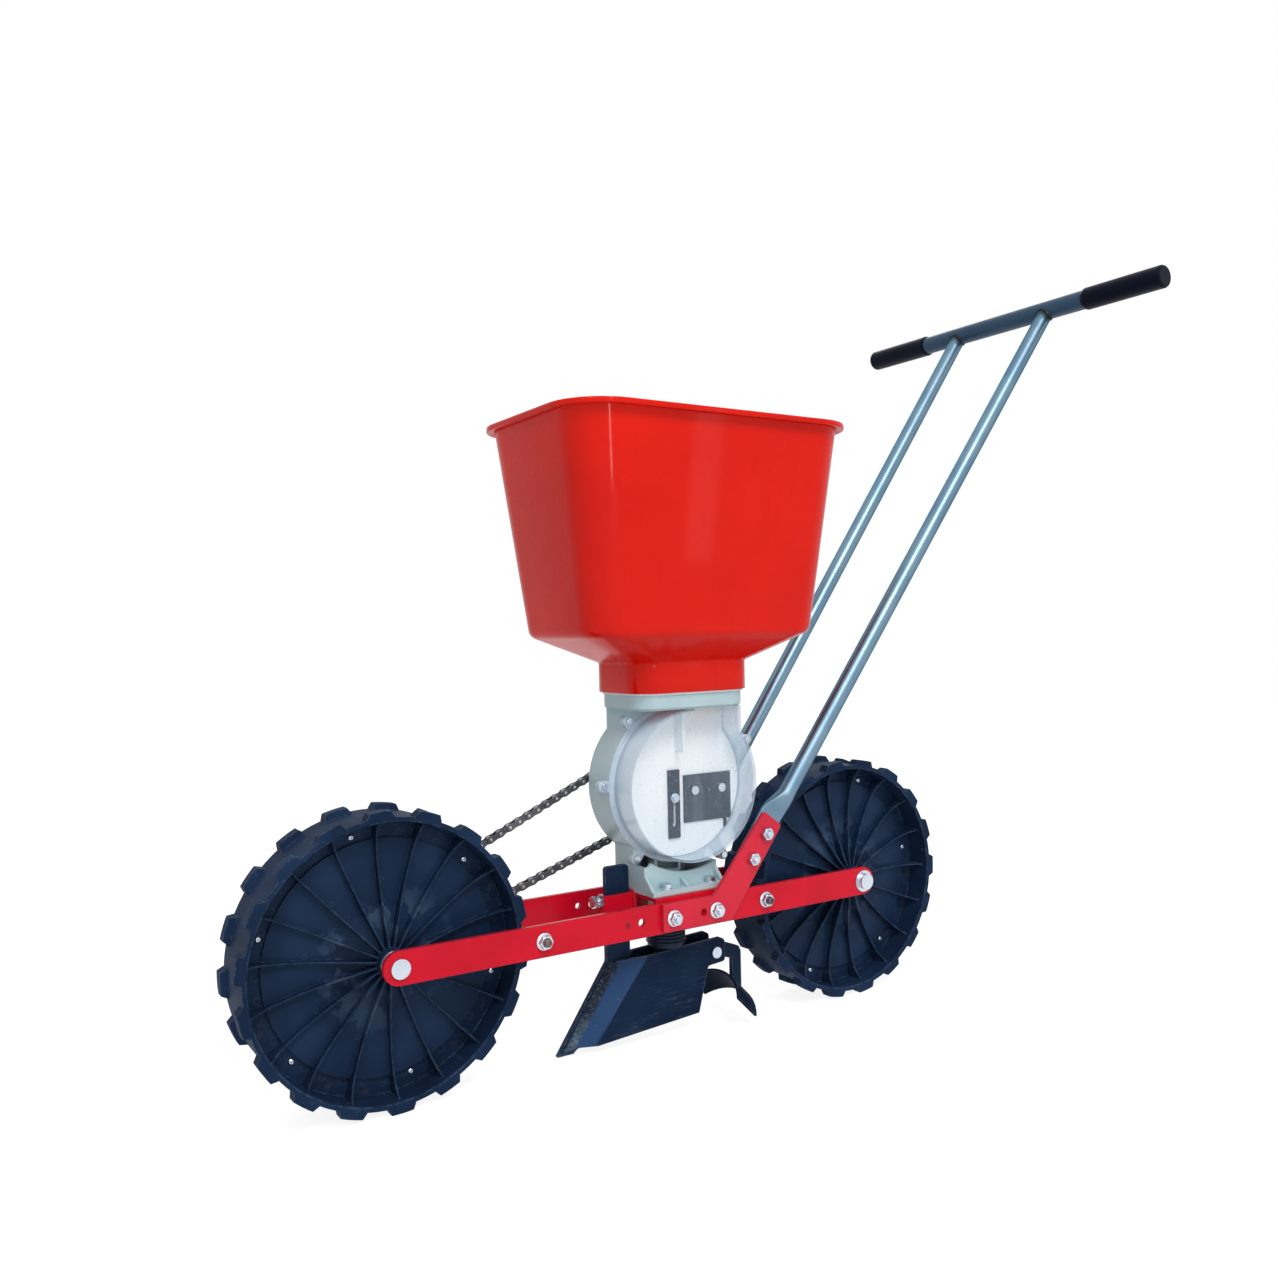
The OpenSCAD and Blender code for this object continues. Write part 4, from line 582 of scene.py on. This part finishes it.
def hopperSections(h):
    # rows (z, length, width, radius) from the neck's foot up the outside, round the rim and down the inside
    neck, body, rim = (np.array(h[k], float) for k in ("neck", "body", "rim"))
    zs = h["neckLow"], h["neckTop"], h["bodyLow"], h["rimTop"]

    def shift(rise, inset):
        # raised by rise and drawn in by inset all round
        return np.array([rise, -2 * inset, -2 * inset, -inset])

    def bend(before, corner, after, reach):
        # quadratic curve through a fold: (1 - t)^2 p + 2 t (1 - t) q + t^2 r, p and r at reach from the fold
        p, r = (corner + (end - corner) * reach / np.linalg.norm((end - corner)[:2] / [1, 2])
                for end in (before, after))
        t = np.linspace(0, 1, h["foldSteps"])[:, None]
        return [*((1 - t) ** 2 * p + 2 * t * (1 - t) * corner + t ** 2 * r)]

    foot, waist, hip, top = (np.array([z, *s]) for z, s in zip(zs, (neck, neck, body, rim)))
    wall, flange = shift(0, h["wall"]), shift(0, -h["flange"])
    under = top + shift(-h["wall"], 0)
    outside = [foot + shift(*row) for row in h["footEdge"]]
    outside += bend(foot, waist, hip, h["neckFold"]) + bend(waist, hip, top, h["fold"])
    outside += bend(hip, under, under + flange, h["rimFold"])
    outside += [top + flange + shift(*row) for row in h["lipEdge"]]
    inside = [top + wall + shift(*row) for row in h["mouthEdge"]]
    inside += bend(top + wall, hip + wall, waist + wall, h["fold"])
    inside += bend(hip + wall, waist + wall, foot + wall, h["neckFold"])
    return np.array(outside + inside + [foot + wall])


def makeHopper(h):
    # rounded rectangles through the sections, closed into one shell of even wall
    rows = hopperSections(h)
    x, y = roundedRing(rows[:, 1] / 2, rows[:, 2] / 2, rows[:, 3], h["cornerSteps"])
    grid = place(x + h["centre"][0], y + h["centre"][1], rows[:, :1])
    seat(sheetMesh("hopperShell", grid, "hopperRed", ring=True), "frame", "hopper_red", "hopper")


makeHopper(hopperShape)
print("hopper made")


# handle tubes

tubeShape = {
    "foot": (416.5, 50.5), "angle": 52.9, "top": 736,  # lower bolt's centre, rake, handlebar height
    "outFoot": 53, "outLow": 61, "outTop": 76,  # distance from the centre plane
    "radius": 10, "flatHalf": 15.7, "flatThick": 2.5, "flatEnd": 55, "roundStart": 89, "buryTop": 6,
    "flatPower": 8, "steps": (12, 8, 22, 40),  # of the end, the strip, the change and the tube
    "around": 48,
}


def makeTube(t, side, name, node):
    # cross-section w |cos u|^(2/p), h |sin u|^(2/p): p runs from 2 (round) to flatPower (flat strip)
    long = (t["top"] - t["foot"][1]) / math.sin(math.radians(t["angle"])) - t["buryTop"]
    end, strip, change, rest = t["steps"]
    s = np.concatenate([-t["flatHalf"] * np.cos(np.linspace(0.02, math.pi / 2, end)),
                        np.linspace(1, t["flatEnd"], strip),
                        np.linspace(t["flatEnd"], t["roundStart"], change)[1:],
                        np.linspace(t["roundStart"], long, rest)[1:]])
    blend = np.clip((s - t["flatEnd"]) / (t["roundStart"] - t["flatEnd"]), 0, 1)
    ease = blend ** 2 * (3 - 2 * blend)
    flat = np.where(s < 0, np.sqrt(np.clip(t["flatHalf"] ** 2 - s ** 2, 0, None)), t["flatHalf"])
    width = flat * (1 - ease) + t["radius"] * ease
    thick = t["flatThick"] * (1 - ease) + t["radius"] * ease
    power = 2 + (t["flatPower"] - 2) * (1 - blend) ** 1.5
    slope = (t["outTop"] - t["outLow"]) / (long - t["roundStart"])
    out = np.where(s > t["roundStart"], t["outLow"] + slope * (s - t["roundStart"]),
                   t["outFoot"] + (t["outLow"] - t["outFoot"]) * ease)
    u = around(t["around"])
    c, v = np.cos(u), np.sin(u)
    across = width[:, None] * np.sign(c) * np.abs(c) ** (2 / power[:, None])
    deep = thick[:, None] * np.sign(v) * np.abs(v) ** (2 / power[:, None])
    a = math.radians(t["angle"])
    x = t["foot"][0] + s[:, None] * math.cos(a) + across * math.sin(a)
    z = t["foot"][1] + s[:, None] * math.sin(a) - across * math.cos(a)
    y = side * (out[:, None] + deep)
    seat(sheetMesh(name, place(x, y, z), "tubeZinc"), "frame", "bright_zinc", node)


makeTube(tubeShape, -1, "tubeLeft", "handle_tube_left")
makeTube(tubeShape, 1, "tubeRight", "handle_tube_right")
print("handle tubes made")


# seed hose

hoseShape = {"x": 337, "top": -8.4, "low": -46.6, "inner": 19.1, "root": 20.7, "crest": 22.9, "ribs": 8,
             "ribSteps": 10, "cuff": 4, "cuffWall": 1.9, "edge": 0.4, "around": 72}


def makeHose(h):
    # radius = root + (crest - root) |sin(pi ribs s)|^0.6 between two plain cuffs, inside 0.9 of that swell
    s = np.linspace(0, 1, h["ribs"] * h["ribSteps"] + 1)
    top, low, edge = h["top"], h["low"], h["edge"]
    cuffTop, cuffLow = top - h["cuff"], low + h["cuff"]
    z = cuffTop - s * (cuffTop - cuffLow)
    swell = (h["crest"] - h["root"]) * np.abs(np.sin(math.pi * h["ribs"] * s)) ** 0.6
    outer, inner = h["root"] + swell, h["inner"] + 0.9 * swell
    cuff = h["inner"] + h["cuffWall"]
    mouth = cuff - 0.5
    zs = np.concatenate([[top, top - edge, cuffTop + edge], z, [cuffLow - edge, low + edge, low],
                         [low], z[::-1], [top]])
    rs = np.concatenate([[mouth, cuff, cuff], outer, [cuff, cuff, mouth],
                         [h["inner"]], inner[::-1], [h["inner"]]])
    u = around(h["around"])
    grid = place(h["x"] + rs[:, None] * np.cos(u), rs[:, None] * np.sin(u), zs[:, None])
    bellows = sheetMesh("hoseBellows", grid, "hoseRubber", ring=True)
    ends = (place(h["x"], 0, z).tolist() for z in (cuffTop, cuffLow))
    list(ends)
    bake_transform(bellows)
    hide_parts("seed_hose")


makeHose(hoseShape)
print("hose made")


# drive chain

chainShape = {"links": 76, "pitch": 12.7, "driveTeeth": 12, "drivenTeeth": 21, "meter": meterAxle, "y": 43,
              "halfHeight": 4.7, "waist": 0.36, "waistWidth": 0.35, "squareness": 1.6, "outline": 28,
              "plate": 1.2, "plateGap": 0.1, "innerGap": 1.75, "roller": 3.8, "pin": 1.9, "around": 14,
              "pinEdge": 0.3, "pinEnd": 1.2, "proud": 0.2,
              # depth through the plate, size of the outline there
              "plateEdge": ((0, 0.55), (0, 0.94), (0.25, 1), (0.95, 1), (1.2, 0.94), (1.2, 0.55))}


def chainLoop(c):
    # pins at equal arc length round both pitch circles, R = p / (2 sin(pi / n)), and their two tangents
    small, large = (c["pitch"] / 2 / math.sin(math.pi / c[k]) for k in ("driveTeeth", "drivenTeeth"))
    base = math.atan2(c["meter"][1], c["meter"][0])
    span = math.hypot(*c["meter"])
    lean = math.asin((large - small) / span)
    run = span * math.cos(lean)
    arcs = large * (math.pi + 2 * lean), small * (math.pi - 2 * lean)
    total = 2 * run + sum(arcs)
    s = np.arange(c["links"]) * total / c["links"]
    up, low = base + lean + math.pi / 2, base - lean - math.pi / 2

    def ray(r, a):
        return np.stack([r * np.cos(a), r * np.sin(a)], axis=-1)

    far = np.array(c["meter"])
    parts = [ray(small, up + 0 * s) + ray(s, up - math.pi / 2 + 0 * s),
             far + ray(large, up - (s - run) / large),
             far + ray(large, low + 0 * s) + ray(s - run - arcs[0], low - math.pi / 2 + 0 * s),
             ray(small, low - (s - 2 * run - arcs[0]) / small)]
    which = [s < run, s < run + arcs[0], s < 2 * run + arcs[0]]
    return np.select([w[:, None] for w in which], parts[:3], parts[3])


def plateOutline(c):
    # x = p/2 clip(squareness cos t) + h cos t, z = h sin t (1 - waist exp(-(cos t / waistWidth)^2))
    t = around(c["outline"])
    h = c["halfHeight"]
    x = c["pitch"] / 2 * np.clip(c["squareness"] * np.cos(t), -1, 1) + h * np.cos(t)
    z = h * np.sin(t) * (1 - c["waist"] * np.exp(-(np.cos(t) / c["waistWidth"]) ** 2))
    return x, z


def plateGrids(c):
    # a plate of the inner links and one of the outer links on each side, outlines through their depth
    x, z = plateOutline(c)
    depth, size = np.array(c["plateEdge"]).T[..., None]
    for row in (0, 1):
        ys = c["innerGap"] + row * (c["plate"] + c["plateGap"]) + depth
        for side in (-1, 1):
            yield row, np.stack(np.broadcast_arrays(x * size, side * ys, z * size), -1)


def pinGrids(c):
    # the roller between the inner plates, then the pin through all plates with its chamfered ends
    u = around(c["around"])
    outer = c["innerGap"] + 2 * c["plate"] + c["plateGap"] + c["proud"]
    end = outer + c["pinEdge"]
    for rs, ys in (((c["roller"], c["roller"]), (-c["innerGap"], c["innerGap"])),
                   ((c["pinEnd"], c["pin"], c["pin"], c["pinEnd"]), (-end, -outer, outer, end))):
        rs, ys = np.array(rs)[:, None], np.array(ys)[:, None]
        yield np.stack(np.broadcast_arrays(rs * np.cos(u), ys, rs * np.sin(u)), -1)


def makeChain(c):
    # every second link has inner plates, the others outer ones; each plate lies from its pin to the next
    pins = chainLoop(c)
    step = np.roll(pins, -1, axis=0) - pins
    middle = pins + step / 2
    angle = np.arctan2(step[:, 1], step[:, 0])

    def stood(points):
        # (x, z) on the chain's plane
        return np.stack([points[:, 0], np.full(len(points), c["y"]), points[:, 1]], -1)

    plates = [copies(grid, stood(middle[row::2]), angle[row::2]) for row, grid in plateGrids(c)]
    rods = [copies(grid, stood(pins), 0 * angle) for grid in pinGrids(c)]
    for name, grids, finish in (("chainPlates", plates, "chainSteel"), ("chainPins", rods, "pinSteel")):
        chain = joined(name, [grid for group in grids for grid in group], finish)
        seat(chain, "frame", "dark_steel", "drive_chain")


makeChain(chainShape)
print("chain made")


# nuts and bolts

boltShape = {
    "pairs": {  # node; places x, z; y of the nut's seat and of the head's, 0 for a rod; flange radius
        "bracketNuts": ("bracket_bolts", [(308, 0), (365, 0)], 60.5, 46.5, 8.9),
        "handleNuts": ("handle_bolts", [tubeShape["foot"], (436.4, 76.8)], 60.5, 50.5, 0),
        "tieNutsFront": ("front_tie_rod", [(152, 0)], 55.5, 0, 8.9),
        "tieNutsRear": ("rear_tie_rod", [(439, 0)], 55.5, 0, 8.9)},
    "flats": 13, "shank": 4, "nut": 7.4, "stub": 3.2,  # width across flats, radius, height, end past the nut
    "pitch": 0.9, "threadDepth": 0.28, "threaded": 9,
    "lift": 0.02,  # between a face and what it is pressed on
    "barInside": 50.5,  # y of the bars' inner faces
}
wide = 99  # a radius that leaves only the flats


def turned(rows, steps=48):
    # rows (w, r, flats): radius min(r, flats / 2 / cos(((u + 30) mod 60) - 30)), u the angle in degrees
    w, r, flats = np.array(rows, float).T[..., None]
    u = around(steps)
    side = np.cos((u + math.pi / 6) % (math.pi / 3) - math.pi / 6)
    radius = np.where(flats > 0, np.minimum(r, flats / 2 / side), r)
    return np.stack(np.broadcast_arrays(radius * np.cos(u), radius * np.sin(u), w), axis=-1)


def standing(grid, at, side):
    # local (u, v, w) to at + (side v, side w, u): w runs outwards along Y on that side
    return np.array(at, float) + grid[..., [1, 2, 0]] * [side, side, 1]


def threadRows(b, start, end):
    # crests and roots of a 60 degree thread, pitch apart, then a chamfered end
    count = max(2, int((end - start) / (b["pitch"] / 2)))
    w = np.linspace(start, end, count)
    radii = b["shank"] - b["threadDepth"] * (np.arange(count) % 2)
    return [(height, r, 0) for height, r in zip(w, radii)] + [(end + 0.5, b["shank"] - 0.9, 0)]


def nutRows(b, flange):
    # (height, radius, flats) up a hexagon nut, over its rounded top and down to the thread
    f, top, lift = b["flats"], b["nut"], b["lift"]
    if flange:
        rows = [(lift, flange - 0.5, 0), (lift, flange - 0.3, 0), (0.35, flange, 0), (1.2, flange, 0),
                (1.5, flange - 0.3, 0), (2.4, f / 2 + 0.2, 0), (2.4, wide, f)]
    else:
        rows = [(lift, 5.8, 0), (lift, 6.1, 0), (0.5, 6.9, f), (0.9, wide, f)]
    return rows + [(top - 0.9, wide, f), (top - 0.6, 7.15, f), (top - 0.25, 6.75, f), (top, 6.2, f),
                   (top, 4.9, 0), (top - 0.35, 4.2, 0)]


def headRows(b):
    # the same for a hexagon head
    f, lift = b["flats"], b["lift"]
    return [(lift, 5.9, 0), (lift, 6.1, 0), (0.3, 6.3, 0), (0.35, wide, f), (4.6, wide, f), (4.9, 7.15, f),
            (5.2, 6.75, f), (5.4, 6.0, f)]


def boltGrids(b, x, z, outer, inner, flange, side):
    # nut with the threaded end, then the head and the shank between them
    shank = [(-0.5, b["shank"], 0), (outer - inner + 0.3, b["shank"], 0)]
    end = threadRows(b, b["nut"] - 0.3, b["nut"] + b["stub"])
    return [standing(turned(nutRows(b, flange) + end), (x, side * outer, z), side),
            standing(turned(headRows(b)), (x, side * inner, z), -side),
            standing(turned(shank, 24), (x, side * inner, z), side)]


def rodRows(b, outer):
    # from the middle to the threaded end, with a small dimple in its face
    end = outer + b["nut"]
    plain = [(0.1, b["shank"], 0), (end - b["threaded"] - 1, b["shank"], 0)]
    dimple = [(end + b["stub"] + 0.5, 2.2, 0), (end + b["stub"] - 0.6, 1.9, 0)]
    return plain + threadRows(b, end - b["threaded"], end + b["stub"]) + dimple


def makeNuts(b):
    # bolts have a nut and a head on each side; a rod has an outer nut and a jam nut on each side
    f = b["flats"]
    jam = [(b["lift"], 6.1, 0), (0.5, wide, f), (5.6, wide, f), (6.2, 6.4, f)]
    for name, (node, places, outer, inner, flange) in b["pairs"].items():
        grids, rods = [], []
        for x, z in places:
            for side in (-1, 1):
                if inner:
                    grids += boltGrids(b, x, z, outer, inner, flange, side)
                else:
                    grids.append(standing(turned(nutRows(b, flange)), (x, side * outer, z), side))
                    grids.append(standing(turned(jam), (x, side * b["barInside"], z), -side))
                    rods.append(standing(turned(rodRows(b, outer), 32), (x, 0, z), side))
        seat(joined(name, grids, "nutZinc"), "frame", "bright_zinc", node)
        if rods:
            seat(joined(name.replace("Nuts", "Rod"), rods, "rodSteel"), "frame", "bright_zinc", node)


makeNuts(boltShape)
print("nuts made")


# corner of the meter housing

cornerShape = {"meter": meterAxle, "shell": 90, "left": 286.5, "right": 350.5, "top": 223.8, "front": -9.6,
               "back": -7.7, "clear": 0.1, "thin": 0.2, "steps": 40}


def makeCorner(c):
    # closes the corner beside the cover: from z = meter + root(shell^2 - (x - meter)^2) up to the collar
    x = np.linspace(c["left"], c["right"], c["steps"])
    low = c["meter"][1] + np.sqrt(c["shell"] ** 2 - (x - c["meter"][0]) ** 2)
    low = np.minimum(low + c["clear"], c["top"] - c["thin"])
    y = np.array([c["front"], c["front"], c["back"], c["back"]])
    z = np.stack([low, 0 * low + c["top"], 0 * low + c["top"], low], axis=-1)
    grid = np.stack(np.broadcast_arrays(x[:, None], y[None], z), axis=-1)
    seat(joined("housingCorner", [grid], "meterGreen"), "frame", "housing_green")


makeCorner(cornerShape)
print("housing corner made")


# wheel screws

wheelScrewShape = {
    "count": 6, "circle": 122, "ring": 4,  # radius of their circle, y of the ring's faces
    "head": 3.1, "recess": 1.7, "nut": 7, "around": 24,
    "wheels": {"front": (0, 13), "rear": (wheelbase, 39)},  # axle x, phase in degrees
}


def makeWheelScrews(w):
    # pan heads with a cross recess, r = recess (0.3 + 0.7 cos^4 2u), at 60 (i + 1/2) + phase round the axle
    u = around(w["around"])
    head, recess, nut = w["head"], w["recess"], w["nut"]
    front = turned([(-0.3, 2.4, 0), (0.02, head - 0.1, 0), (0.4, head, 0), (1.1, head - 0.4, 0),
                    (1.7, recess + 0.2, 0), (1.8, recess, 0), (0.6, recess * 0.6, 0)], w["around"])
    front[-2:, :, :2] *= (0.3 + 0.7 * np.cos(2 * u) ** 4)[None, :, None]
    back = turned([(0.05, 3.2, 0), (0.3, wide, nut), (3.6, wide, nut), (4, 3.4, nut), (4, 2.3, 0),
                   (5.2, 2.3, 0), (5.5, 1.8, 0)], w["around"])
    for name, (x, phase) in w["wheels"].items():
        a = np.radians((np.arange(w["count"]) + 0.5) * 360 / w["count"] + phase)
        grids = []
        for across, up in zip(x + w["circle"] * np.cos(a), w["circle"] * np.sin(a)):
            grids.append(standing(front, (across, -w["ring"], up), -1))
            grids.append(standing(back, (across, w["ring"], up), 1))
        screws = joined(name + "WheelScrews", grids, "nutZinc")
        seat(screws, name + "_wheel", "bright_zinc", name + "_wheel_screws")


makeWheelScrews(wheelScrewShape)
print("wheel screws made")


# welds

weldShape = {
    "openerLead": {"front": ((258.6, -52.5), (200.5, -139.5)), "rear": ((272.5, -53), (215.5, -136)),  # x, z
                   "foot": 3.1, "rise": 5.0, "thick": 2.4, "buried": 0.6, "ripples": 17, "steps": (200, 28),
                   "ragged": 0.05, "nicks": 60,
                   "waves": 14, "waveLow": (4, 0.5, 0), "waveHigh": (46, 6, 6.3)},  # along, across, phase
    "handle": {"bar": (934.94, tubeShape["top"]), "radius": 12.5,
               "tube": tubeShape["radius"], "y": tubeShape["outTop"], "angle": tubeShape["angle"],
               "thick": 1.7, "ripples": 17, "around": 10},
    "clampFoot": ((291.8, -7.6, 23.5), (291.8, -7.6, -15), 2.6, 14),  # start, end, radius, ripples
    "clampTop": ((292, -7, 22.4), (292, 7, 22.4), 2.4, 6),
}


def beadGrid(start, end, radius, ripples, seed, jitter=0.18, steps=12):
    # tube from start to end, r(s) = radius (0.85 + 0.2 |sin(pi ripples s)|) (1 + jitter n(s)), ends drawn in
    rng = np.random.default_rng(seed)
    s = np.linspace(0, 1, ripples * 6 + 1)
    rough = np.interp(s, np.linspace(0, 1, ripples + 1), rng.normal(0, jitter, ripples + 1))
    close = np.clip(np.minimum(s, 1 - s) * ripples * 1.2, 0.15, 1) ** 0.5
    r = radius * (0.85 + 0.2 * np.abs(np.sin(math.pi * ripples * s))) * (1 + rough) * close
    start, end = np.array(start, float), np.array(end, float)
    way = (end - start) / np.linalg.norm(end - start)
    e1 = np.cross(way, (0.3, 0.8, 0.5))
    e1 /= np.linalg.norm(e1)
    e2 = np.cross(way, e1)
    u = around(steps)
    lumps = 1 + 0.12 * rng.normal(0, 1, (len(s), steps))
    ring = np.cos(u)[:, None] * e1 + np.sin(u)[:, None] * e2
    centre = start + s[:, None] * (end - start)
    return centre[:, None] + (r[:, None] * lumps)[..., None] * ring[None]


def stripGrid(w, seed):
    # ragged weld run from the shank up to the plate: y = foot + rise t + thick lumps(s, t) sin(pi t)^0.6
    rng = np.random.default_rng(seed)
    s, t = np.linspace(0, 1, w["steps"][0])[:, None], np.linspace(0, 1, w["steps"][1])
    front, rear = (np.array(w[key], float)[0] + s * np.subtract(*w[key][::-1]) for key in ("front", "rear"))
    nicks = np.linspace(0, 1, w["nicks"])
    frontShift, rearShift = (np.interp(s, nicks, rng.normal(0, w["ragged"], len(nicks))) for edge in range(2))
    share = t + frontShift * (1 - t) + rearShift * t
    at = front[:, None] + share[..., None] * (rear - front)[:, None]
    # arched ripples with waves of random length over them
    lumps = 0.45 + 0.3 * np.abs(np.sin(math.pi * (w["ripples"] * s - 1.5 * (t - 0.5) ** 2)))
    for k in range(w["waves"]):
        along, across, phase = rng.uniform(w["waveLow"], w["waveHigh"])
        lumps = lumps + 0.07 * np.sin(2 * math.pi * (along * s + across * t) + phase)
    close = np.clip(np.minimum(s, 1 - s) * 25, 0, 1) ** 0.5
    crown = np.clip(lumps, 0.05, 1.3) * np.sin(math.pi * t) ** 0.6 * close
    height = w["foot"] + w["rise"] * t + w["thick"] * crown
    top = np.stack([at[..., 0], -height, at[..., 1]], axis=-1)
    base = top[:, [-1, 0]]
    base[..., 1] = w["buried"] - w["foot"]
    return np.concatenate([top, base], axis=1)


def saddleGrid(h, side, seed):
    # where the tube meets the handlebar: at angle a round it the seam is root(R^2 - (r sin a)^2) from the bar
    rng = np.random.default_rng(seed)
    a, u = around(h["ripples"] * 5), around(h["around"])
    lean = math.radians(h["angle"])
    r = h["thick"] * (1 + 0.2 * np.sin(h["ripples"] * a) + 0.08 * rng.normal(0, 1, len(a)))
    out = h["tube"] + r[:, None] * np.cos(u)
    down = np.sqrt(h["radius"] ** 2 - (h["tube"] * np.sin(a)) ** 2)[:, None] + r[:, None] * np.sin(u)
    over = out * np.sin(a)[:, None]
    x = h["bar"][0] - down * math.cos(lean) - over * math.sin(lean)
    z = h["bar"][1] - down * math.sin(lean) + over * math.cos(lean)
    return np.stack([x, side * h["y"] + out * np.cos(a)[:, None], z], axis=-1)


def mirrored(grid):
    # the same on the other side of the centre plane, its faces still outwards
    return grid[:, ::-1] * [1, -1, 1]


def makeWelds(w):
    # the opener's leading edge, the tubes at the handlebar, the clamp's foot and its top
    lead = stripGrid(w["openerLead"], seed=3)
    seat(joined("openerWeld", [lead, mirrored(lead)], "weldBlack", True), "opener", "black_paint")
    for side, name in ((-1, "handleWeldLeft"), (1, "handleWeldRight")):
        seam = place(*np.moveaxis(saddleGrid(w["handle"], side, seed=8), -1, 0))
        seat(sheetMesh(name, seam, "weldBrown", ring=True), "frame", "slate_paint")
    foot = beadGrid(*w["clampFoot"], seed=5)
    top = beadGrid(*w["clampTop"], seed=6)
    seat(joined("clampWeld", [foot, mirrored(foot), top], "enamelRed", True), "frame", "frame_red")


makeWelds(weldShape)
print("welds made")


# floor and light

studio = {
    "floor": 8.0,  # half its side in metres
    "floorSeen": 0.34, "floorGlow": 0.87,  # shade and own light that the camera sees
    "floorBounce": 0.85,  # shade that lights the object from below
    "world": 0.42,
    "aim": (0, 0, 0.4),
    "lamps": {  # place, power, width, height
        "key": ((-1.9, -2.2, 2.3), 15, 1.0, 1.0),
        "top": ((-0.3, -2.3, 2.85), 52, 1.1, 1.1),
        "back": ((1.6, 2.2, 2.0), 14, 1.4, 1.4),
        "stripLeft": ((-0.5, -3.0, 0.55), 9, 0.2, 1.1),
        "stripRight": ((1.62, -2.5, 0.6), 0.7, 0.15, 1.2)},
}


def makeLamp(name, at, power, width, height, target):
    # a soft panel turned to the target
    data = bpy.data.lights.new(name, "AREA")
    data.shape = "RECTANGLE"
    data.energy, data.size, data.size_y = power, width, height
    lamp = bpy.data.objects.new(name, data)
    lamp.location = at
    lamp.rotation_euler = (Vector(at) - Vector(target)).to_track_quat("Z", "Y").to_euler()
    bpy.context.scene.collection.objects.link(lamp)


def seenWhite(f):
    # 1 for what the camera, gloss and clear plastic see, 0 for what lights the object
    ray = f.node("ShaderNodeLightPath")
    seen = [Wire(f, ray.outputs[k]) for k in ("Is Camera Ray", "Is Glossy Ray", "Is Transmission Ray")]
    return (seen[0] + seen[1] + seen[2]).clamp()


def makeFloor(s):
    # pale floor that takes the shadow: diffuse, with a glow that only the camera and gloss see
    half = s["floor"]
    corners = [(-half, -half, 0), (half, -half, 0), (half, half, 0), (-half, half, 0)]
    mesh = bpy.data.meshes.new("floor")
    mesh.from_pydata(corners, [], [(0, 1, 2, 3)])
    floor = bpy.data.objects.new("floor", mesh)
    bpy.context.scene.collection.objects.link(floor)
    f = Finish("floor")
    seen = seenWhite(f)
    shade = f.noise(3, 2) * 0.02 + s["floorBounce"] - 0.01 + (s["floorSeen"] - s["floorBounce"]) * seen
    matt = f.node("ShaderNodeBsdfDiffuse", {}, {"Color": f.mix(shade, (0, 0, 0), white)})
    glow = f.node("ShaderNodeEmission", {}, {"Color": white, "Strength": seen * s["floorGlow"]})
    mesh.materials.append(f.done(f.node("ShaderNodeAddShader", {}, {0: matt.outputs[0], 1: glow.outputs[0]})))


def makeWorld(s):
    # soft light all round that is seen as white
    world = bpy.data.worlds.new("studio")
    bpy.context.scene.world = world
    w = Finish("backdrop", world)
    light, seen = (w.node("ShaderNodeBackground", {}, {"Color": white, "Strength": level})
                   for level in (s["world"], 1.0))
    w.done(w.node("ShaderNodeMixShader", {}, {0: seenWhite(w), 1: light.outputs[0], 2: seen.outputs[0]}))


makeFloor(studio)
makeWorld(studio)
for name, lamp in studio["lamps"].items():
    makeLamp(name, *lamp, studio["aim"])
bpy.context.scene.view_settings.view_transform = "Standard"
print("studio ready")
